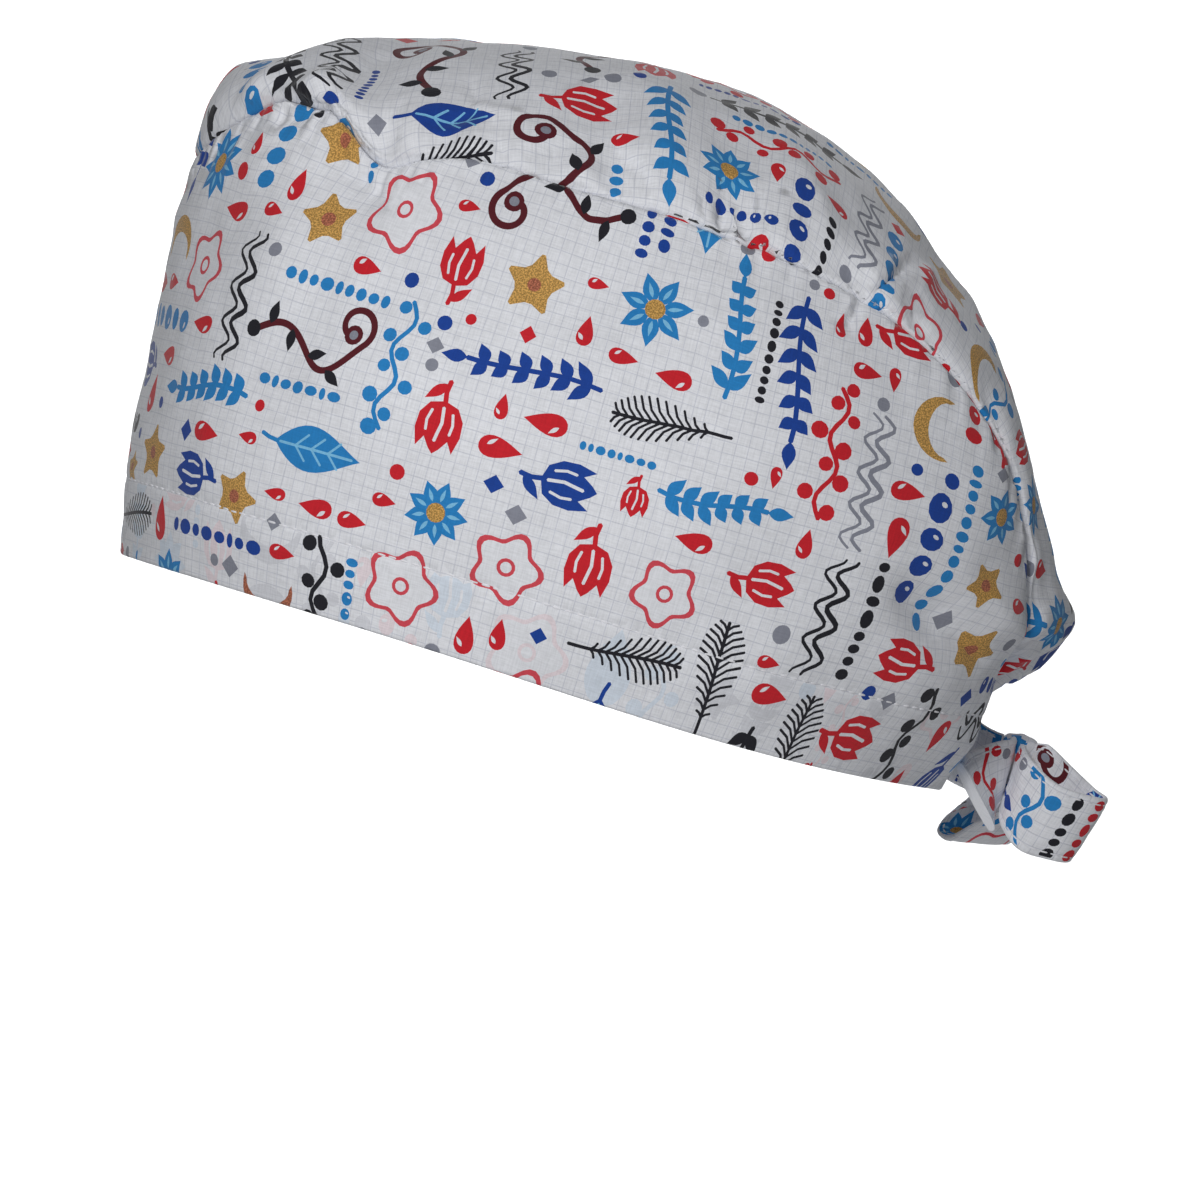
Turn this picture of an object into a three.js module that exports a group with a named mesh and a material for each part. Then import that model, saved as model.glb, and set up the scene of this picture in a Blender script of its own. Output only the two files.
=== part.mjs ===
// A tie-back scrub cap of printed cotton, in the form it takes on a head.
// Lengths are in millimetres. The front faces -Y, the wearer's left is +X and +Z is up.
// The origin is the centre of the rim opening, which is worn with its front high.

import * as THREE from "three";
import { mergeVertices } from "three/addons/utils/BufferGeometryUtils.js";

// Rim and crown.
const rimHalfLength = 98; // level distance from the origin to the rim's front and to its nape
const rimHalfWidth = 80; // from the middle of the rim to its side
const rimRise = 28; // the rim's front is this far above the origin, and its nape as far below
const earDip = 3; // how far the rim sags by the ears
const crownHeight = 151; // top of the crown above the origin
const seamHalfWidth = 63.5; // half of the top panel's width, seam to seam
const sideSwell = 13; // how far the side panel bulges out between rim and seam
const pouchPuff = 10; // how far the back of the top panel bags out over the nape

// Cloth.
const clothWall = 1.4;
const hemWall = 2.4; // the cloth is folded double along the rim
const hemDepth = 19; // rim to the line of stitches
const seamGap = 0.3; // between the two panels, along their seam
const puckerHeight = 2.2; // fullness eased into the seam
const foldHeight = 4; // the larger folds and dents
const lobeDrop = 5.5; // how far the soft roll at the front sags over the seam

// Ties and bow at the nape.
const strapWidth = 18;
const strapThickness = 2;
const endHem = 1.4; // extra thickness of the folded end of each tie
const tieGap = 0.3; // between a strap and what it comes out of
const knotWidth = 12;
const knotDepth = 11;
const knotHeight = 17;
const knotCorner = 1.4;
const knotSetback = 9.4; // from the side panel's ends to the knot
const knotDrop = 2.6; // the knot's middle below the middle of those ends
const loopReach = 20; // how far a loop stands out from the knot
const loopSpread = 12; // how wide a loop opens
const tailReach = 10; // how far a tie end shows past the knot

// Fineness of the faceted surfaces.
const stationSteps = 44; // from the front to the nape, on each side
const sideSteps = 7; // from the hem to the seam
const topSteps = 22; // from seam to seam over the crown
const strapSteps = 4; // for each row of a strap's table

// One row for each section of the cap, from its front to its nape.
// turn: degrees around the rim. seamOut, seamBack, seamUp: the seam, as shares of
// seamHalfWidth, rimHalfLength and crownHeight. ridgeBack, ridgeUp: the middle line of the top
// panel, as shares of the last two. swell: share of sideSwell. puff: share of pouchPuff.
// arc: degrees that the top panel's section bends through, from its middle to its seam.
const sections = [
  { turn: 0, seamOut: 0, seamBack: -0.745, seamUp: 0.936,
    ridgeBack: -0.745, ridgeUp: 0.936, swell: 0.3, puff: 0, arc: 60 },
  { turn: 17, seamOut: 0.358, seamBack: -0.682, seamUp: 0.909,
    ridgeBack: -0.689, ridgeUp: 0.955, swell: 0.42, puff: 0, arc: 60 },
  { turn: 35, seamOut: 0.683, seamBack: -0.51, seamUp: 0.864,
    ridgeBack: -0.51, ridgeUp: 0.98, swell: 0.65, puff: 0, arc: 60 },
  { turn: 51, seamOut: 0.829, seamBack: -0.316, seamUp: 0.795,
    ridgeBack: -0.286, ridgeUp: 0.998, swell: 0.8, puff: 0, arc: 60 },
  { turn: 64, seamOut: 0.911, seamBack: -0.122, seamUp: 0.785,
    ridgeBack: -0.082, ridgeUp: 0.989, swell: 0.9, puff: 0, arc: 60 },
  { turn: 77, seamOut: 0.976, seamBack: 0.092, seamUp: 0.742,
    ridgeBack: 0.122, ridgeUp: 0.973, swell: 1, puff: 0, arc: 60 },
  { turn: 91, seamOut: 1, seamBack: 0.316, seamUp: 0.699,
    ridgeBack: 0.357, ridgeUp: 0.949, swell: 1, puff: 0, arc: 60 },
  { turn: 105, seamOut: 0.992, seamBack: 0.561, seamUp: 0.64,
    ridgeBack: 0.612, ridgeUp: 0.881, swell: 1, puff: 0, arc: 61 },
  { turn: 118, seamOut: 0.935, seamBack: 0.779, seamUp: 0.572,
    ridgeBack: 0.857, ridgeUp: 0.76, swell: 1, puff: 0, arc: 62 },
  { turn: 129, seamOut: 0.854, seamBack: 0.959, seamUp: 0.483,
    ridgeBack: 1.039, ridgeUp: 0.615, swell: 0.95, puff: 0, arc: 62 },
  { turn: 139, seamOut: 0.764, seamBack: 1.098, seamUp: 0.371,
    ridgeBack: 1.155, ridgeUp: 0.443, swell: 0.85, puff: 0, arc: 66 },
  { turn: 147, seamOut: 0.675, seamBack: 1.16, seamUp: 0.268,
    ridgeBack: 1.206, ridgeUp: 0.275, swell: 0.7, puff: 0.2, arc: 74 },
  { turn: 154, seamOut: 0.585, seamBack: 1.182, seamUp: 0.174,
    ridgeBack: 1.212, ridgeUp: 0.159, swell: 0.55, puff: 0.5, arc: 82 },
  { turn: 160, seamOut: 0.488, seamBack: 1.169, seamUp: 0.073,
    ridgeBack: 1.209, ridgeUp: 0.079, swell: 0.38, puff: 1, arc: 86 },
  { turn: 165.5, seamOut: 0.366, seamBack: 1.128, seamUp: 0.007,
    ridgeBack: 1.158, ridgeUp: -0.012, swell: 0.2, puff: 0.65, arc: 80 },
  { turn: 170, seamOut: 0.228, seamBack: 1.074, seamUp: -0.049,
    ridgeBack: 1.087, ridgeUp: -0.05, swell: 0.1, puff: 0, arc: 62 },
];

// Where the seam leaves its plain line. at, width: in rows of the table above.
// side: 1 for the left, -1 for the right, 0 for both. drop: share of lobeDrop.
const seamDrops = [
  { side: 1, at: 2.25, width: 0.34, drop: -0.4 },
  { side: 1, at: 2.8, width: 0.34, drop: 0.75 },
];

// Folds of the top panel. Each line runs from the seam, at row `at`, towards the middle, and
// has moved by `lean` rows when it gets there. from, to: the stretch of it that stands up, with
// 0 at the seam and 1 at the middle. height: share of foldHeight, below 0 for a crease.
const topFolds = [
  { side: 1, at: 2.62, lean: 0.5, width: 0.5, from: 0, to: 0.3, height: 0.9 },
  { side: 1, at: 1.4, lean: 1.2, width: 0.36, from: 0.05, to: 0.95, height: 0.45 },
  { side: 1, at: 1.95, lean: 1.3, width: 0.34, from: 0.1, to: 0.9, height: -0.4 },
  { side: 1, at: 3.8, lean: -0.5, width: 0.4, from: 0.12, to: 0.45, height: -0.35 },
  { side: 0, at: 5.3, lean: 0.2, width: 0.36, from: 0, to: 0.45, height: -0.35 },
  { side: 0, at: 6.6, lean: 0.3, width: 0.36, from: 0, to: 0.4, height: -0.3 },
  { side: 1, at: 7.6, lean: 0.2, width: 0.36, from: 0, to: 0.5, height: 0.3 },
  { side: -1, at: 2.2, lean: 0.9, width: 0.4, from: 0.05, to: 0.8, height: 0.35 },
  { side: -1, at: 3.6, lean: 0.4, width: 0.4, from: 0, to: 0.45, height: -0.3 },
  { side: -1, at: 8.2, lean: 0.2, width: 0.4, from: 0, to: 0.5, height: -0.3 },
  { side: 1, at: 12.2, lean: 0.2, width: 0.7, from: 0, to: 0.4, height: -0.4 },
  { side: -1, at: 12.4, lean: 0, width: 0.6, from: 0, to: 0.4, height: -0.35 },
  { side: 0, at: 13.75, lean: 0, width: 0.3, from: 0.35, to: 1.6, height: -0.25 },
];

// Dents and swellings of the side panel. at, width: in rows. up, tall: shares of its height.
// out: share of foldHeight, below 0 for a dent.
const sideFolds = [
  { side: 0, at: 0, width: 1.1, up: 0.84, tall: 0.05, out: -0.2 },
  { side: 0, at: 0.2, width: 1.2, up: 0.73, tall: 0.09, out: 0.3 },
  { side: 0, at: 0, width: 1, up: 0.95, tall: 0.06, out: 1.2 },
  { side: 1, at: 8.4, width: 0.45, up: 0.9, tall: 0.08, out: -0.55 },
  { side: 1, at: 9.8, width: 0.8, up: 0.93, tall: 0.05, out: 0.3 },
  { side: 1, at: 5, width: 1.4, up: 0.7, tall: 0.2, out: -0.25 },
  { side: -1, at: 4.2, width: 1.2, up: 0.6, tall: 0.2, out: -0.3 },
  { side: -1, at: 8.6, width: 0.8, up: 0.85, tall: 0.1, out: -0.4 },
  { side: 0, at: 13.4, width: 0.8, up: 0.6, tall: 0.25, out: -0.3 },
];

// Straps of the bow, from the knot's side face out and back to it. out: share of loopSpread
// from that face. slot: place on the face, as a share of knotDepth. back, up: shares of
// loopReach. lean: degrees that the strap's width turns from downwards towards the back.
// wide: share of strapWidth.
const leftLoop = [
  { out: 0, slot: 0.32, back: 0, up: 0, lean: 0, wide: 0.86 },
  { out: 0.22, slot: 0.32, back: 0.1, up: -0.02, lean: -4, wide: 0.93 },
  { out: 0.28, slot: 0.2, back: 0.4, up: -0.2, lean: -12, wide: 1 },
  { out: 0.34, slot: 0, back: 0.83, up: -0.38, lean: -16, wide: 1 },
  { out: 0.62, slot: 0, back: 0.98, up: -0.44, lean: -16, wide: 1 },
  { out: 0.92, slot: 0, back: 0.8, up: -0.47, lean: -17, wide: 1 },
  { out: 1, slot: 0, back: 0.38, up: -0.45, lean: -16, wide: 1 },
  { out: 0.6, slot: 0.02, back: 0.06, up: -0.25, lean: -10, wide: 0.95 },
  { out: 0, slot: 0.02, back: 0, up: -0.06, lean: 0, wide: 0.86 },
];
const rightLoop = [
  { out: 0, slot: 0.32, back: 0, up: 0, lean: 0, wide: 0.86 },
  { out: 0.2, slot: 0.34, back: 0.02, up: -0.03, lean: -8, wide: 0.86 },
  { out: 0.42, slot: 0.36, back: 0.08, up: -0.24, lean: -36, wide: 0.86 },
  { out: 0.55, slot: 0.34, back: 0.08, up: -0.62, lean: -66, wide: 0.86 },
  { out: 0.8, slot: 0.2, back: 0, up: -0.92, lean: -78, wide: 0.86 },
  { out: 1.14, slot: 0.08, back: -0.06, up: -0.84, lean: -72, wide: 0.86 },
  { out: 1.3, slot: 0.06, back: -0.04, up: -0.42, lean: -46, wide: 0.86 },
  { out: 0.95, slot: 0.04, back: -0.03, up: -0.08, lean: -14, wide: 0.86 },
  { out: 0, slot: 0.02, back: 0, up: 0, lean: 0, wide: 0.86 },
];

// The free ends of the ties. out, slot, lean and wide as above, back and up as shares of
// tailReach. hem: share of endHem.
const leftTail = [
  { out: 0, slot: -0.2, back: 0, up: 0, lean: 0, wide: 0.86, hem: 0 },
  { out: 0.15, slot: -0.2, back: 0, up: -0.08, lean: 0, wide: 0.88, hem: 0 },
  { out: 0.42, slot: -0.2, back: -0.2, up: -0.26, lean: 10, wide: 0.94, hem: 0 },
  { out: 0.84, slot: -0.2, back: -0.5, up: -0.6, lean: 34, wide: 1, hem: 0 },
  { out: 1.02, slot: -0.2, back: -0.6, up: -0.85, lean: 43, wide: 1, hem: 1 },
];
const rightTail = [
  { out: 0, slot: -0.2, back: 0, up: 0, lean: 0, wide: 0.86, hem: 0 },
  { out: 0.14, slot: -0.2, back: -0.02, up: 0, lean: 0, wide: 0.86, hem: 0 },
  { out: 0.34, slot: -0.2, back: -0.12, up: -0.06, lean: 4, wide: 0.86, hem: 0 },
  { out: 0.52, slot: -0.2, back: -0.36, up: -0.12, lean: 8, wide: 0.86, hem: 0 },
  { out: 0.6, slot: -0.2, back: -0.62, up: -0.16, lean: 12, wide: 0.86, hem: 1 },
];

const lastRow = sections.length - 1;
const oddColumns = ["turn", "seamOut"];
const radians = THREE.MathUtils.degToRad;
const bell = (x) => Math.exp(-x * x);
const onSide = (side, row) => row.side === 0 || row.side === side;

// A smooth curve through the rows of a table, read at row t. Before a mirrored table's first
// row lies the other side of the cap, and past any other end the table goes straight on.
function readTable(table, t, mirrored) {
  const last = table.length - 1;
  const i = Math.min(Math.max(Math.floor(t), 0), last - 1);
  const f = t - i;
  const read = {};
  for (const name of Object.keys(table[0])) {
    const at = (k) => {
      if (k > last) return 2 * table[last][name] - table[2 * last - k][name];
      if (k >= 0) return table[k][name];
      if (!mirrored) return 2 * table[0][name] - table[-k][name];
      return oddColumns.includes(name) ? -table[-k][name] : table[-k][name];
    };
    const [a, b, c, d] = [at(i - 1), at(i), at(i + 1), at(i + 2)];
    const bend = (2 * a - 5 * b + 4 * c - d) * f * f + (3 * b - 3 * c + d - a) * f * f * f;
    read[name] = b + 0.5 * ((c - a) * f + bend);
  }
  return read;
}

// The rim, at row t of the sections.
function rimPoint(t) {
  const turn = readTable(sections, t, true).turn;
  const angle = radians(turn);
  const squared = 1 + 0.04 * Math.sin(2 * angle) ** 2;
  return new THREE.Vector3(
    rimHalfWidth * Math.sin(angle) * squared,
    -rimHalfLength * Math.cos(angle),
    rimRise * Math.cos(angle) - earDip * bell((turn - 120) / 38),
  );
}

// The seam between the panels, at row t.
function seamPoint(t, side) {
  const row = readTable(sections, t, true);
  let drop = 0;
  for (const fold of seamDrops) {
    if (onSide(side, fold)) drop += fold.drop * bell((t - fold.at) / fold.width);
  }
  return new THREE.Vector3(
    seamHalfWidth * row.seamOut,
    rimHalfLength * row.seamBack,
    crownHeight * row.seamUp - lobeDrop * drop,
  );
}

// The outer face of the side panel, from the rim at v = 0 to the seam at v = 1.
function sidePoint(t, v, side) {
  const row = readTable(sections, t, true);
  const angle = radians(row.turn);
  const outwards = new THREE.Vector3(
    Math.sin(angle) * rimHalfLength,
    -Math.cos(angle) * rimHalfWidth,
    0,
  ).normalize();
  let out = sideSwell * row.swell * Math.sin(Math.PI * v);
  const ends = Math.sin(Math.PI * Math.min(Math.max(v, 0), 1)) ** 0.5;
  for (const fold of sideFolds) {
    if (!onSide(side, fold)) continue;
    const near = bell((t - fold.at) / fold.width) * bell((v - fold.up) / fold.tall);
    out += foldHeight * fold.out * near * ends;
  }
  const point = rimPoint(t).lerp(seamPoint(t, side), v).addScaledVector(outwards, out);
  point.x *= side;
  return point;
}

// How far a fold stands up, c of the way from the seam to the middle of the top panel.
function foldAt(fold, t, c) {
  const start = THREE.MathUtils.smoothstep(c, fold.from - 0.12, fold.from + 0.12);
  const stop = 1 - THREE.MathUtils.smoothstep(c, fold.to - 0.15, fold.to + 0.15);
  return fold.height * start * stop * bell((t - fold.at - fold.lean * c) / fold.width);
}

// The outer face of the top panel, from the right seam at w = -1 to the left one at w = 1.
function topPoint(t, w) {
  const side = w < 0 ? -1 : 1;
  const row = readTable(sections, t, true);
  const arc = radians(row.arc);
  const seam = seamPoint(t, side);
  const ridgeBack = rimHalfLength * row.ridgeBack + pouchPuff * row.puff;
  const rise = (Math.cos(arc * w) - Math.cos(arc)) / (1 - Math.cos(arc));
  const point = new THREE.Vector3(
    (seam.x * Math.sin(arc * w)) / Math.sin(arc),
    THREE.MathUtils.lerp(seam.y, ridgeBack, rise),
    THREE.MathUtils.lerp(seam.z, crownHeight * row.ridgeUp, rise),
  );
  const c = 1 - Math.abs(w);
  const eased = (c / 0.16) * Math.exp(1 - c / 0.16) * Math.min(1, t);
  let out = puckerHeight * eased * (0.75 + 0.25 * Math.cos(5.2 * t + side));
  for (const fold of topFolds) {
    if (onSide(side, fold)) out += foldHeight * foldAt(fold, t, c) * Math.min(1, 8 * c);
  }
  const middle = new THREE.Vector3(0, 0.2 * rimHalfLength, 0.25 * crownHeight);
  return point.addScaledVector(point.clone().sub(middle).normalize(), out);
}

// The direction square to a surface that face(a, b) gives, on the side away from the head.
function squareTo(face, a, b, da, db) {
  const along = face(a + da, b).sub(face(a - da, b));
  const across = face(a, b + db).sub(face(a, b - db));
  const normal = along.cross(across).normalize();
  const fromHead = face(a, b).sub(new THREE.Vector3(0, 0, 0.25 * crownHeight));
  return normal.dot(fromHead) < 0 ? normal.negate() : normal;
}

const sideNormal = (t, v, side) =>
  squareTo((a, b) => sidePoint(a, b, side), Math.max(t, 0.05), v, 0.04, 0.02);
const topNormal = (t, w) =>
  squareTo(topPoint, Math.min(Math.max(t, 0.2), lastRow - 0.05), w, 0.04, 0.02);

// At the seam both panels are square to one direction, and draw back from each other.
function seamFrame(t, side) {
  const point = sidePoint(t, 1, side);
  const normal = sideNormal(t, 0.98, side).add(topNormal(t, side * 0.97)).normalize();
  const ahead = sidePoint(t + 0.05, 1, side);
  const along = ahead.sub(t > 0 ? sidePoint(t - 0.05, 1, side) : sidePoint(0.05, 1, -side));
  const towardsTop = along.cross(normal).normalize();
  const middle = topPoint(Math.max(t, 0.5), 0);
  if (towardsTop.dot(middle.sub(point)) < 0) towardsTop.negate();
  return { point, normal, towardsTop };
}

// A closed solid between two sheets of points with the same rows and columns.
function shell(outer, inner) {
  const rows = outer.length;
  const columns = outer[0].length;
  const points = [...outer.flat(), ...inner.flat()];
  const outerId = (r, c) => r * columns + c;
  const innerId = (r, c) => rows * columns + r * columns + c;
  const faces = [];
  const quad = (a, b, c, d) => faces.push([a, b, c], [a, c, d]);
  for (let r = 0; r < rows - 1; r += 1) {
    for (let c = 0; c < columns - 1; c += 1) {
      quad(outerId(r, c), outerId(r + 1, c), outerId(r + 1, c + 1), outerId(r, c + 1));
      quad(innerId(r, c), innerId(r, c + 1), innerId(r + 1, c + 1), innerId(r + 1, c));
    }
  }
  for (let r = 0; r < rows - 1; r += 1) {
    const c = columns - 1;
    quad(outerId(r, 0), innerId(r, 0), innerId(r + 1, 0), outerId(r + 1, 0));
    quad(outerId(r, c), outerId(r + 1, c), innerId(r + 1, c), innerId(r, c));
  }
  for (let c = 0; c < columns - 1; c += 1) {
    const r = rows - 1;
    quad(outerId(0, c), outerId(0, c + 1), innerId(0, c + 1), innerId(0, c));
    quad(outerId(r, c), innerId(r, c), innerId(r, c + 1), outerId(r, c + 1));
  }
  return solid(points, faces);
}

// Points and triangles as a geometry that faces outwards, with no doubled point.
function solid(points, faces) {
  const made = new THREE.BufferGeometry();
  made.setAttribute(
    "position",
    new THREE.Float32BufferAttribute(points.flatMap((p) => [p.x, p.y, p.z]), 3),
  );
  made.setIndex(faces.flat());
  const merged = mergeVertices(made, 1e-3);
  const old = merged.index.array;
  const place = merged.getAttribute("position");
  const corner = (k) => new THREE.Vector3().fromBufferAttribute(place, k);
  let kept = [];
  let volume = 0;
  for (let k = 0; k < old.length; k += 3) {
    const [a, b, c] = [old[k], old[k + 1], old[k + 2]];
    if (a === b || b === c || c === a) continue;
    kept.push([a, b, c]);
    volume += corner(a).dot(corner(b).cross(corner(c)));
  }
  if (volume < 0) kept = kept.map(([a, b, c]) => [a, c, b]);
  merged.setIndex(kept.flat());
  merged.computeVertexNormals();
  return merged;
}

// The side panel runs round the front of the head from one end at the nape to the other.
function sidePanel() {
  const outer = [];
  const inner = [];
  for (let i = -stationSteps; i <= stationSteps; i += 1) {
    const side = i < 0 ? -1 : 1;
    const t = (Math.abs(i) / stationSteps) * lastRow;
    const height = seamPoint(t, side).distanceTo(rimPoint(t));
    const hem = Math.min(hemDepth / height, 0.8);
    const step = Math.min(1.5 / height, 0.1);
    const levels = [[0, hemWall], [hem / 2, hemWall], [hem, hemWall], [hem + step, clothWall]];
    for (let j = 1; j < sideSteps; j += 1) {
      levels.push([THREE.MathUtils.lerp(hem + step, 1, j / sideSteps), clothWall]);
    }
    const seam = seamFrame(t, side);
    const out = levels.map(([v]) => sidePoint(t, v, side));
    const back = levels.map(([v, wall], j) =>
      out[j].clone().addScaledVector(sideNormal(t, Math.max(v, 0.02), side), -wall),
    );
    out.push(seam.point.clone().addScaledVector(seam.towardsTop, -seamGap / 2));
    back.push(out[out.length - 1].clone().addScaledVector(seam.normal, -clothWall));
    outer.push(out);
    inner.push(back);
  }
  return shell(outer, inner);
}

// The top panel runs from a rounded front over the crown to its gathered edge at the nape.
function topPanel() {
  const outer = [];
  const inner = [];
  const front = seamFrame(0, 1);
  for (let i = 0; i <= stationSteps; i += 1) {
    const t = (i / stationSteps) * lastRow;
    const out = [];
    const back = [];
    for (let j = 0; j <= topSteps; j += 1) {
      const w = -1 + (2 * j) / topSteps;
      const atSeam = j === 0 || j === topSteps || i === 0;
      const seam = atSeam ? seamFrame(t, i === 0 ? 1 : w) : null;
      const face = seam
        ? seam.point.clone().addScaledVector(seam.towardsTop, seamGap / 2)
        : topPoint(t, w);
      const normal = seam ? seam.normal : topNormal(t, w).lerp(front.normal, bell(t)).normalize();
      out.push(face);
      back.push(face.clone().addScaledVector(normal, -clothWall));
    }
    outer.push(out);
    inner.push(back);
  }
  return shell(outer, inner);
}

// The nape: the middle of each end of the side panel, and the bow's own directions there.
const endRim = sidePoint(lastRow, 0, 1);
const endSeam = sidePoint(lastRow, 1, 1);
const endMiddle = endRim.clone().lerp(endSeam, 0.5);
const bowUp = new THREE.Vector3(0, 0.27, 0.963).normalize();
const bowBack = new THREE.Vector3(0, bowUp.z, -bowUp.y);
const knotMiddle = new THREE.Vector3(0, endMiddle.y, endMiddle.z)
  .addScaledVector(bowBack, knotSetback + knotDepth / 2)
  .addScaledVector(bowUp, -knotDrop);

// A place by the knot, given in the bow's own directions.
const byKnot = (out, back, up) =>
  knotMiddle
    .clone()
    .add(new THREE.Vector3(out, 0, 0))
    .addScaledVector(bowBack, back)
    .addScaledVector(bowUp, up);

// A flat strap along stations of { middle, width, half, thick, along }, with soft edges.
function strap(stations) {
  const points = [];
  const faces = [];
  stations.forEach(({ middle, width, half, thick, along }) => {
    const across = width.clone().normalize();
    const normal = along.clone().cross(across).normalize();
    const soft = thick / 2;
    const section = [
      [-half, 0], [-half + soft, -soft], [half - soft, -soft],
      [half, 0], [half - soft, soft], [-half + soft, soft],
    ];
    for (const [a, b] of section) {
      points.push(middle.clone().addScaledVector(across, a).addScaledVector(normal, b));
    }
  });
  for (let i = 0; i < stations.length - 1; i += 1) {
    for (let k = 0; k < 6; k += 1) {
      const [a, b] = [i * 6 + k, i * 6 + ((k + 1) % 6)];
      faces.push([a, b, b + 6], [a, b + 6, a + 6]);
    }
  }
  const end = (stations.length - 1) * 6;
  for (let k = 1; k < 5; k += 1) {
    faces.push([0, k + 1, k], [end, end + k, end + k + 1]);
  }
  return solid(points, faces);
}

// A strap of the bow from its table, on the left side of the knot or on the right.
function bowStrap(table, side, reach, closed) {
  const last = table.length - 1;
  const steps = last * strapSteps;
  const middles = [];
  const rows = [];
  for (let i = 0; i <= steps; i += 1) {
    const row = readTable(table, (i / steps) * last, false);
    const out = knotWidth / 2 + tieGap + row.out * loopSpread;
    middles.push(byKnot(side * out, row.slot * knotDepth + row.back * reach, row.up * reach));
    rows.push(row);
  }
  const stations = rows.map((row, i) => {
    const lean = radians(row.lean);
    const width = bowUp.clone().multiplyScalar(-Math.cos(lean));
    width.addScaledVector(bowBack, Math.sin(lean));
    const along = middles[Math.min(i + 1, steps)].clone().sub(middles[Math.max(i - 1, 0)]);
    if (i === 0) along.set(side, 0, 0);
    if (i === steps && closed) along.set(-side, 0, 0);
    return {
      middle: middles[i],
      width,
      half: (row.wide * strapWidth) / 2,
      thick: strapThickness + (row.hem || 0) * endHem,
      along: along.normalize(),
    };
  });
  return strap(stations);
}

// The short run of a tie from the end of the side panel round to the front of the knot.
function tieRun(side) {
  const normal = sideNormal(lastRow, 0.5, side);
  const endDown = sidePoint(lastRow, 0.1, side).sub(sidePoint(lastRow, 0.9, side)).normalize();
  const onward = endDown.clone().cross(normal).normalize();
  if (onward.x * side > 0) onward.negate();
  const start = sidePoint(lastRow, 0.5, side).addScaledVector(normal, -hemWall / 2);
  const past = [0.1, 0.2, 0.3, 0.4, 0.5, 0.6, 0.7, 0.8, 0.9].map((v) =>
    sidePoint(lastRow, v, side).sub(start).dot(onward),
  );
  start.addScaledVector(onward, Math.max(...past) + tieGap);
  const stop = byKnot(side * knotWidth * 0.25, -knotDepth / 2 - tieGap, 0);
  const pull = start.distanceTo(stop) * 0.45;
  const route = new THREE.CubicBezierCurve3(
    start,
    start.clone().addScaledVector(onward, pull),
    stop.clone().addScaledVector(bowBack, -pull),
    stop,
  );
  const stations = [];
  const steps = 3 * strapSteps;
  for (let i = 0; i <= steps; i += 1) {
    const f = i / steps;
    stations.push({
      middle: route.getPoint(f),
      width: endDown.clone().lerp(bowUp.clone().negate(), f),
      half: (strapWidth / 2) * THREE.MathUtils.lerp(1, 0.84, f),
      thick: strapThickness,
      along: route.getTangent(f),
    });
  }
  return strap(stations);
}

// The knot, a pad with flat faces where the straps come out of it.
function knot() {
  const across = knotDepth / 2 - knotCorner;
  const tall = knotHeight / 2 - knotCorner;
  const outline = new THREE.Shape();
  outline.moveTo(-across, -tall);
  outline.lineTo(across, -tall);
  outline.lineTo(across, tall);
  outline.lineTo(-across, tall);
  outline.closePath();
  const made = new THREE.ExtrudeGeometry(outline, {
    depth: knotWidth - 2 * knotCorner,
    bevelEnabled: true,
    bevelThickness: knotCorner,
    bevelSize: knotCorner,
    bevelSegments: 3,
  });
  made.translate(0, 0, knotCorner - knotWidth / 2);
  const turned = new THREE.Matrix4().makeBasis(bowBack, bowUp, new THREE.Vector3(1, 0, 0));
  made.applyMatrix4(turned.setPosition(knotMiddle));
  made.deleteAttribute("normal");
  made.deleteAttribute("uv");
  return made;
}

const cloth = () => new THREE.MeshStandardMaterial({ color: 0xe9eaee, roughness: 0.9, metalness: 0 });

const cap = new THREE.Group();
cap.name = "scrub_cap";

function addPiece(name, geometry) {
  const mesh = new THREE.Mesh(geometry, cloth());
  mesh.name = name;
  cap.add(mesh);
}

addPiece("side_panel", sidePanel());
addPiece("top_panel", topPanel());
addPiece("tie_left", tieRun(1));
addPiece("tie_right", tieRun(-1));
addPiece("bow_knot", knot());
addPiece("bow_loop_left", bowStrap(leftLoop, 1, loopReach, true));
addPiece("bow_loop_right", bowStrap(rightLoop, -1, loopReach, true));
addPiece("tie_end_left", bowStrap(leftTail, 1, tailReach, false));
addPiece("tie_end_right", bowStrap(rightTail, -1, tailReach, false));

export default cap;
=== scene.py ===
"""A tie-back scrub cap of printed cotton, in the form it takes on a head, with no head in it.

The front faces -Y, the wearer's left is +X and +Z is up. Shapes are worked out in millimetres
and put into the meshes in metres.
"""

import math
import random

import bpy
import numpy as np
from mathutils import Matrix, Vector
from mathutils.geometry import delaunay_2d_cdt


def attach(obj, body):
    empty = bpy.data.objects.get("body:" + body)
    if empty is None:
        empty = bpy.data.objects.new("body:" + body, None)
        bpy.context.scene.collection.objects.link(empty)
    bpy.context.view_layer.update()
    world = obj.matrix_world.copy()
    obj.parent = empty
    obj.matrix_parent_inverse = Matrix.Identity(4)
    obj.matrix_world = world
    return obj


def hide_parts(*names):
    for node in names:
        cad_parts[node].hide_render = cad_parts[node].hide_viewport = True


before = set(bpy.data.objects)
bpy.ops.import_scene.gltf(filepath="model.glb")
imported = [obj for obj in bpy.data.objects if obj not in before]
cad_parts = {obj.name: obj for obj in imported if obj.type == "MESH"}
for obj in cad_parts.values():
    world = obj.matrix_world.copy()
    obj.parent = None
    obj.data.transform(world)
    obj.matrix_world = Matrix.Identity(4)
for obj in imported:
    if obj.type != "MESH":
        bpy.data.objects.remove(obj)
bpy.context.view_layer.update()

# The sizes and tables of the CAD model, which the cloth follows.
RIM_HALF_LENGTH = 98
RIM_HALF_WIDTH = 80
RIM_RISE = 28
RIM_FULLNESS = 0.04
EAR_DIP = 3
EAR_TURN = 120
EAR_SPREAD = 38
CROWN_HEIGHT = 151
SEAM_HALF_WIDTH = 63.5
SIDE_SWELL = 13
POUCH_PUFF = 10
HEM_DEPTH = 19
PUCKER_HEIGHT = 2.2
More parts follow.
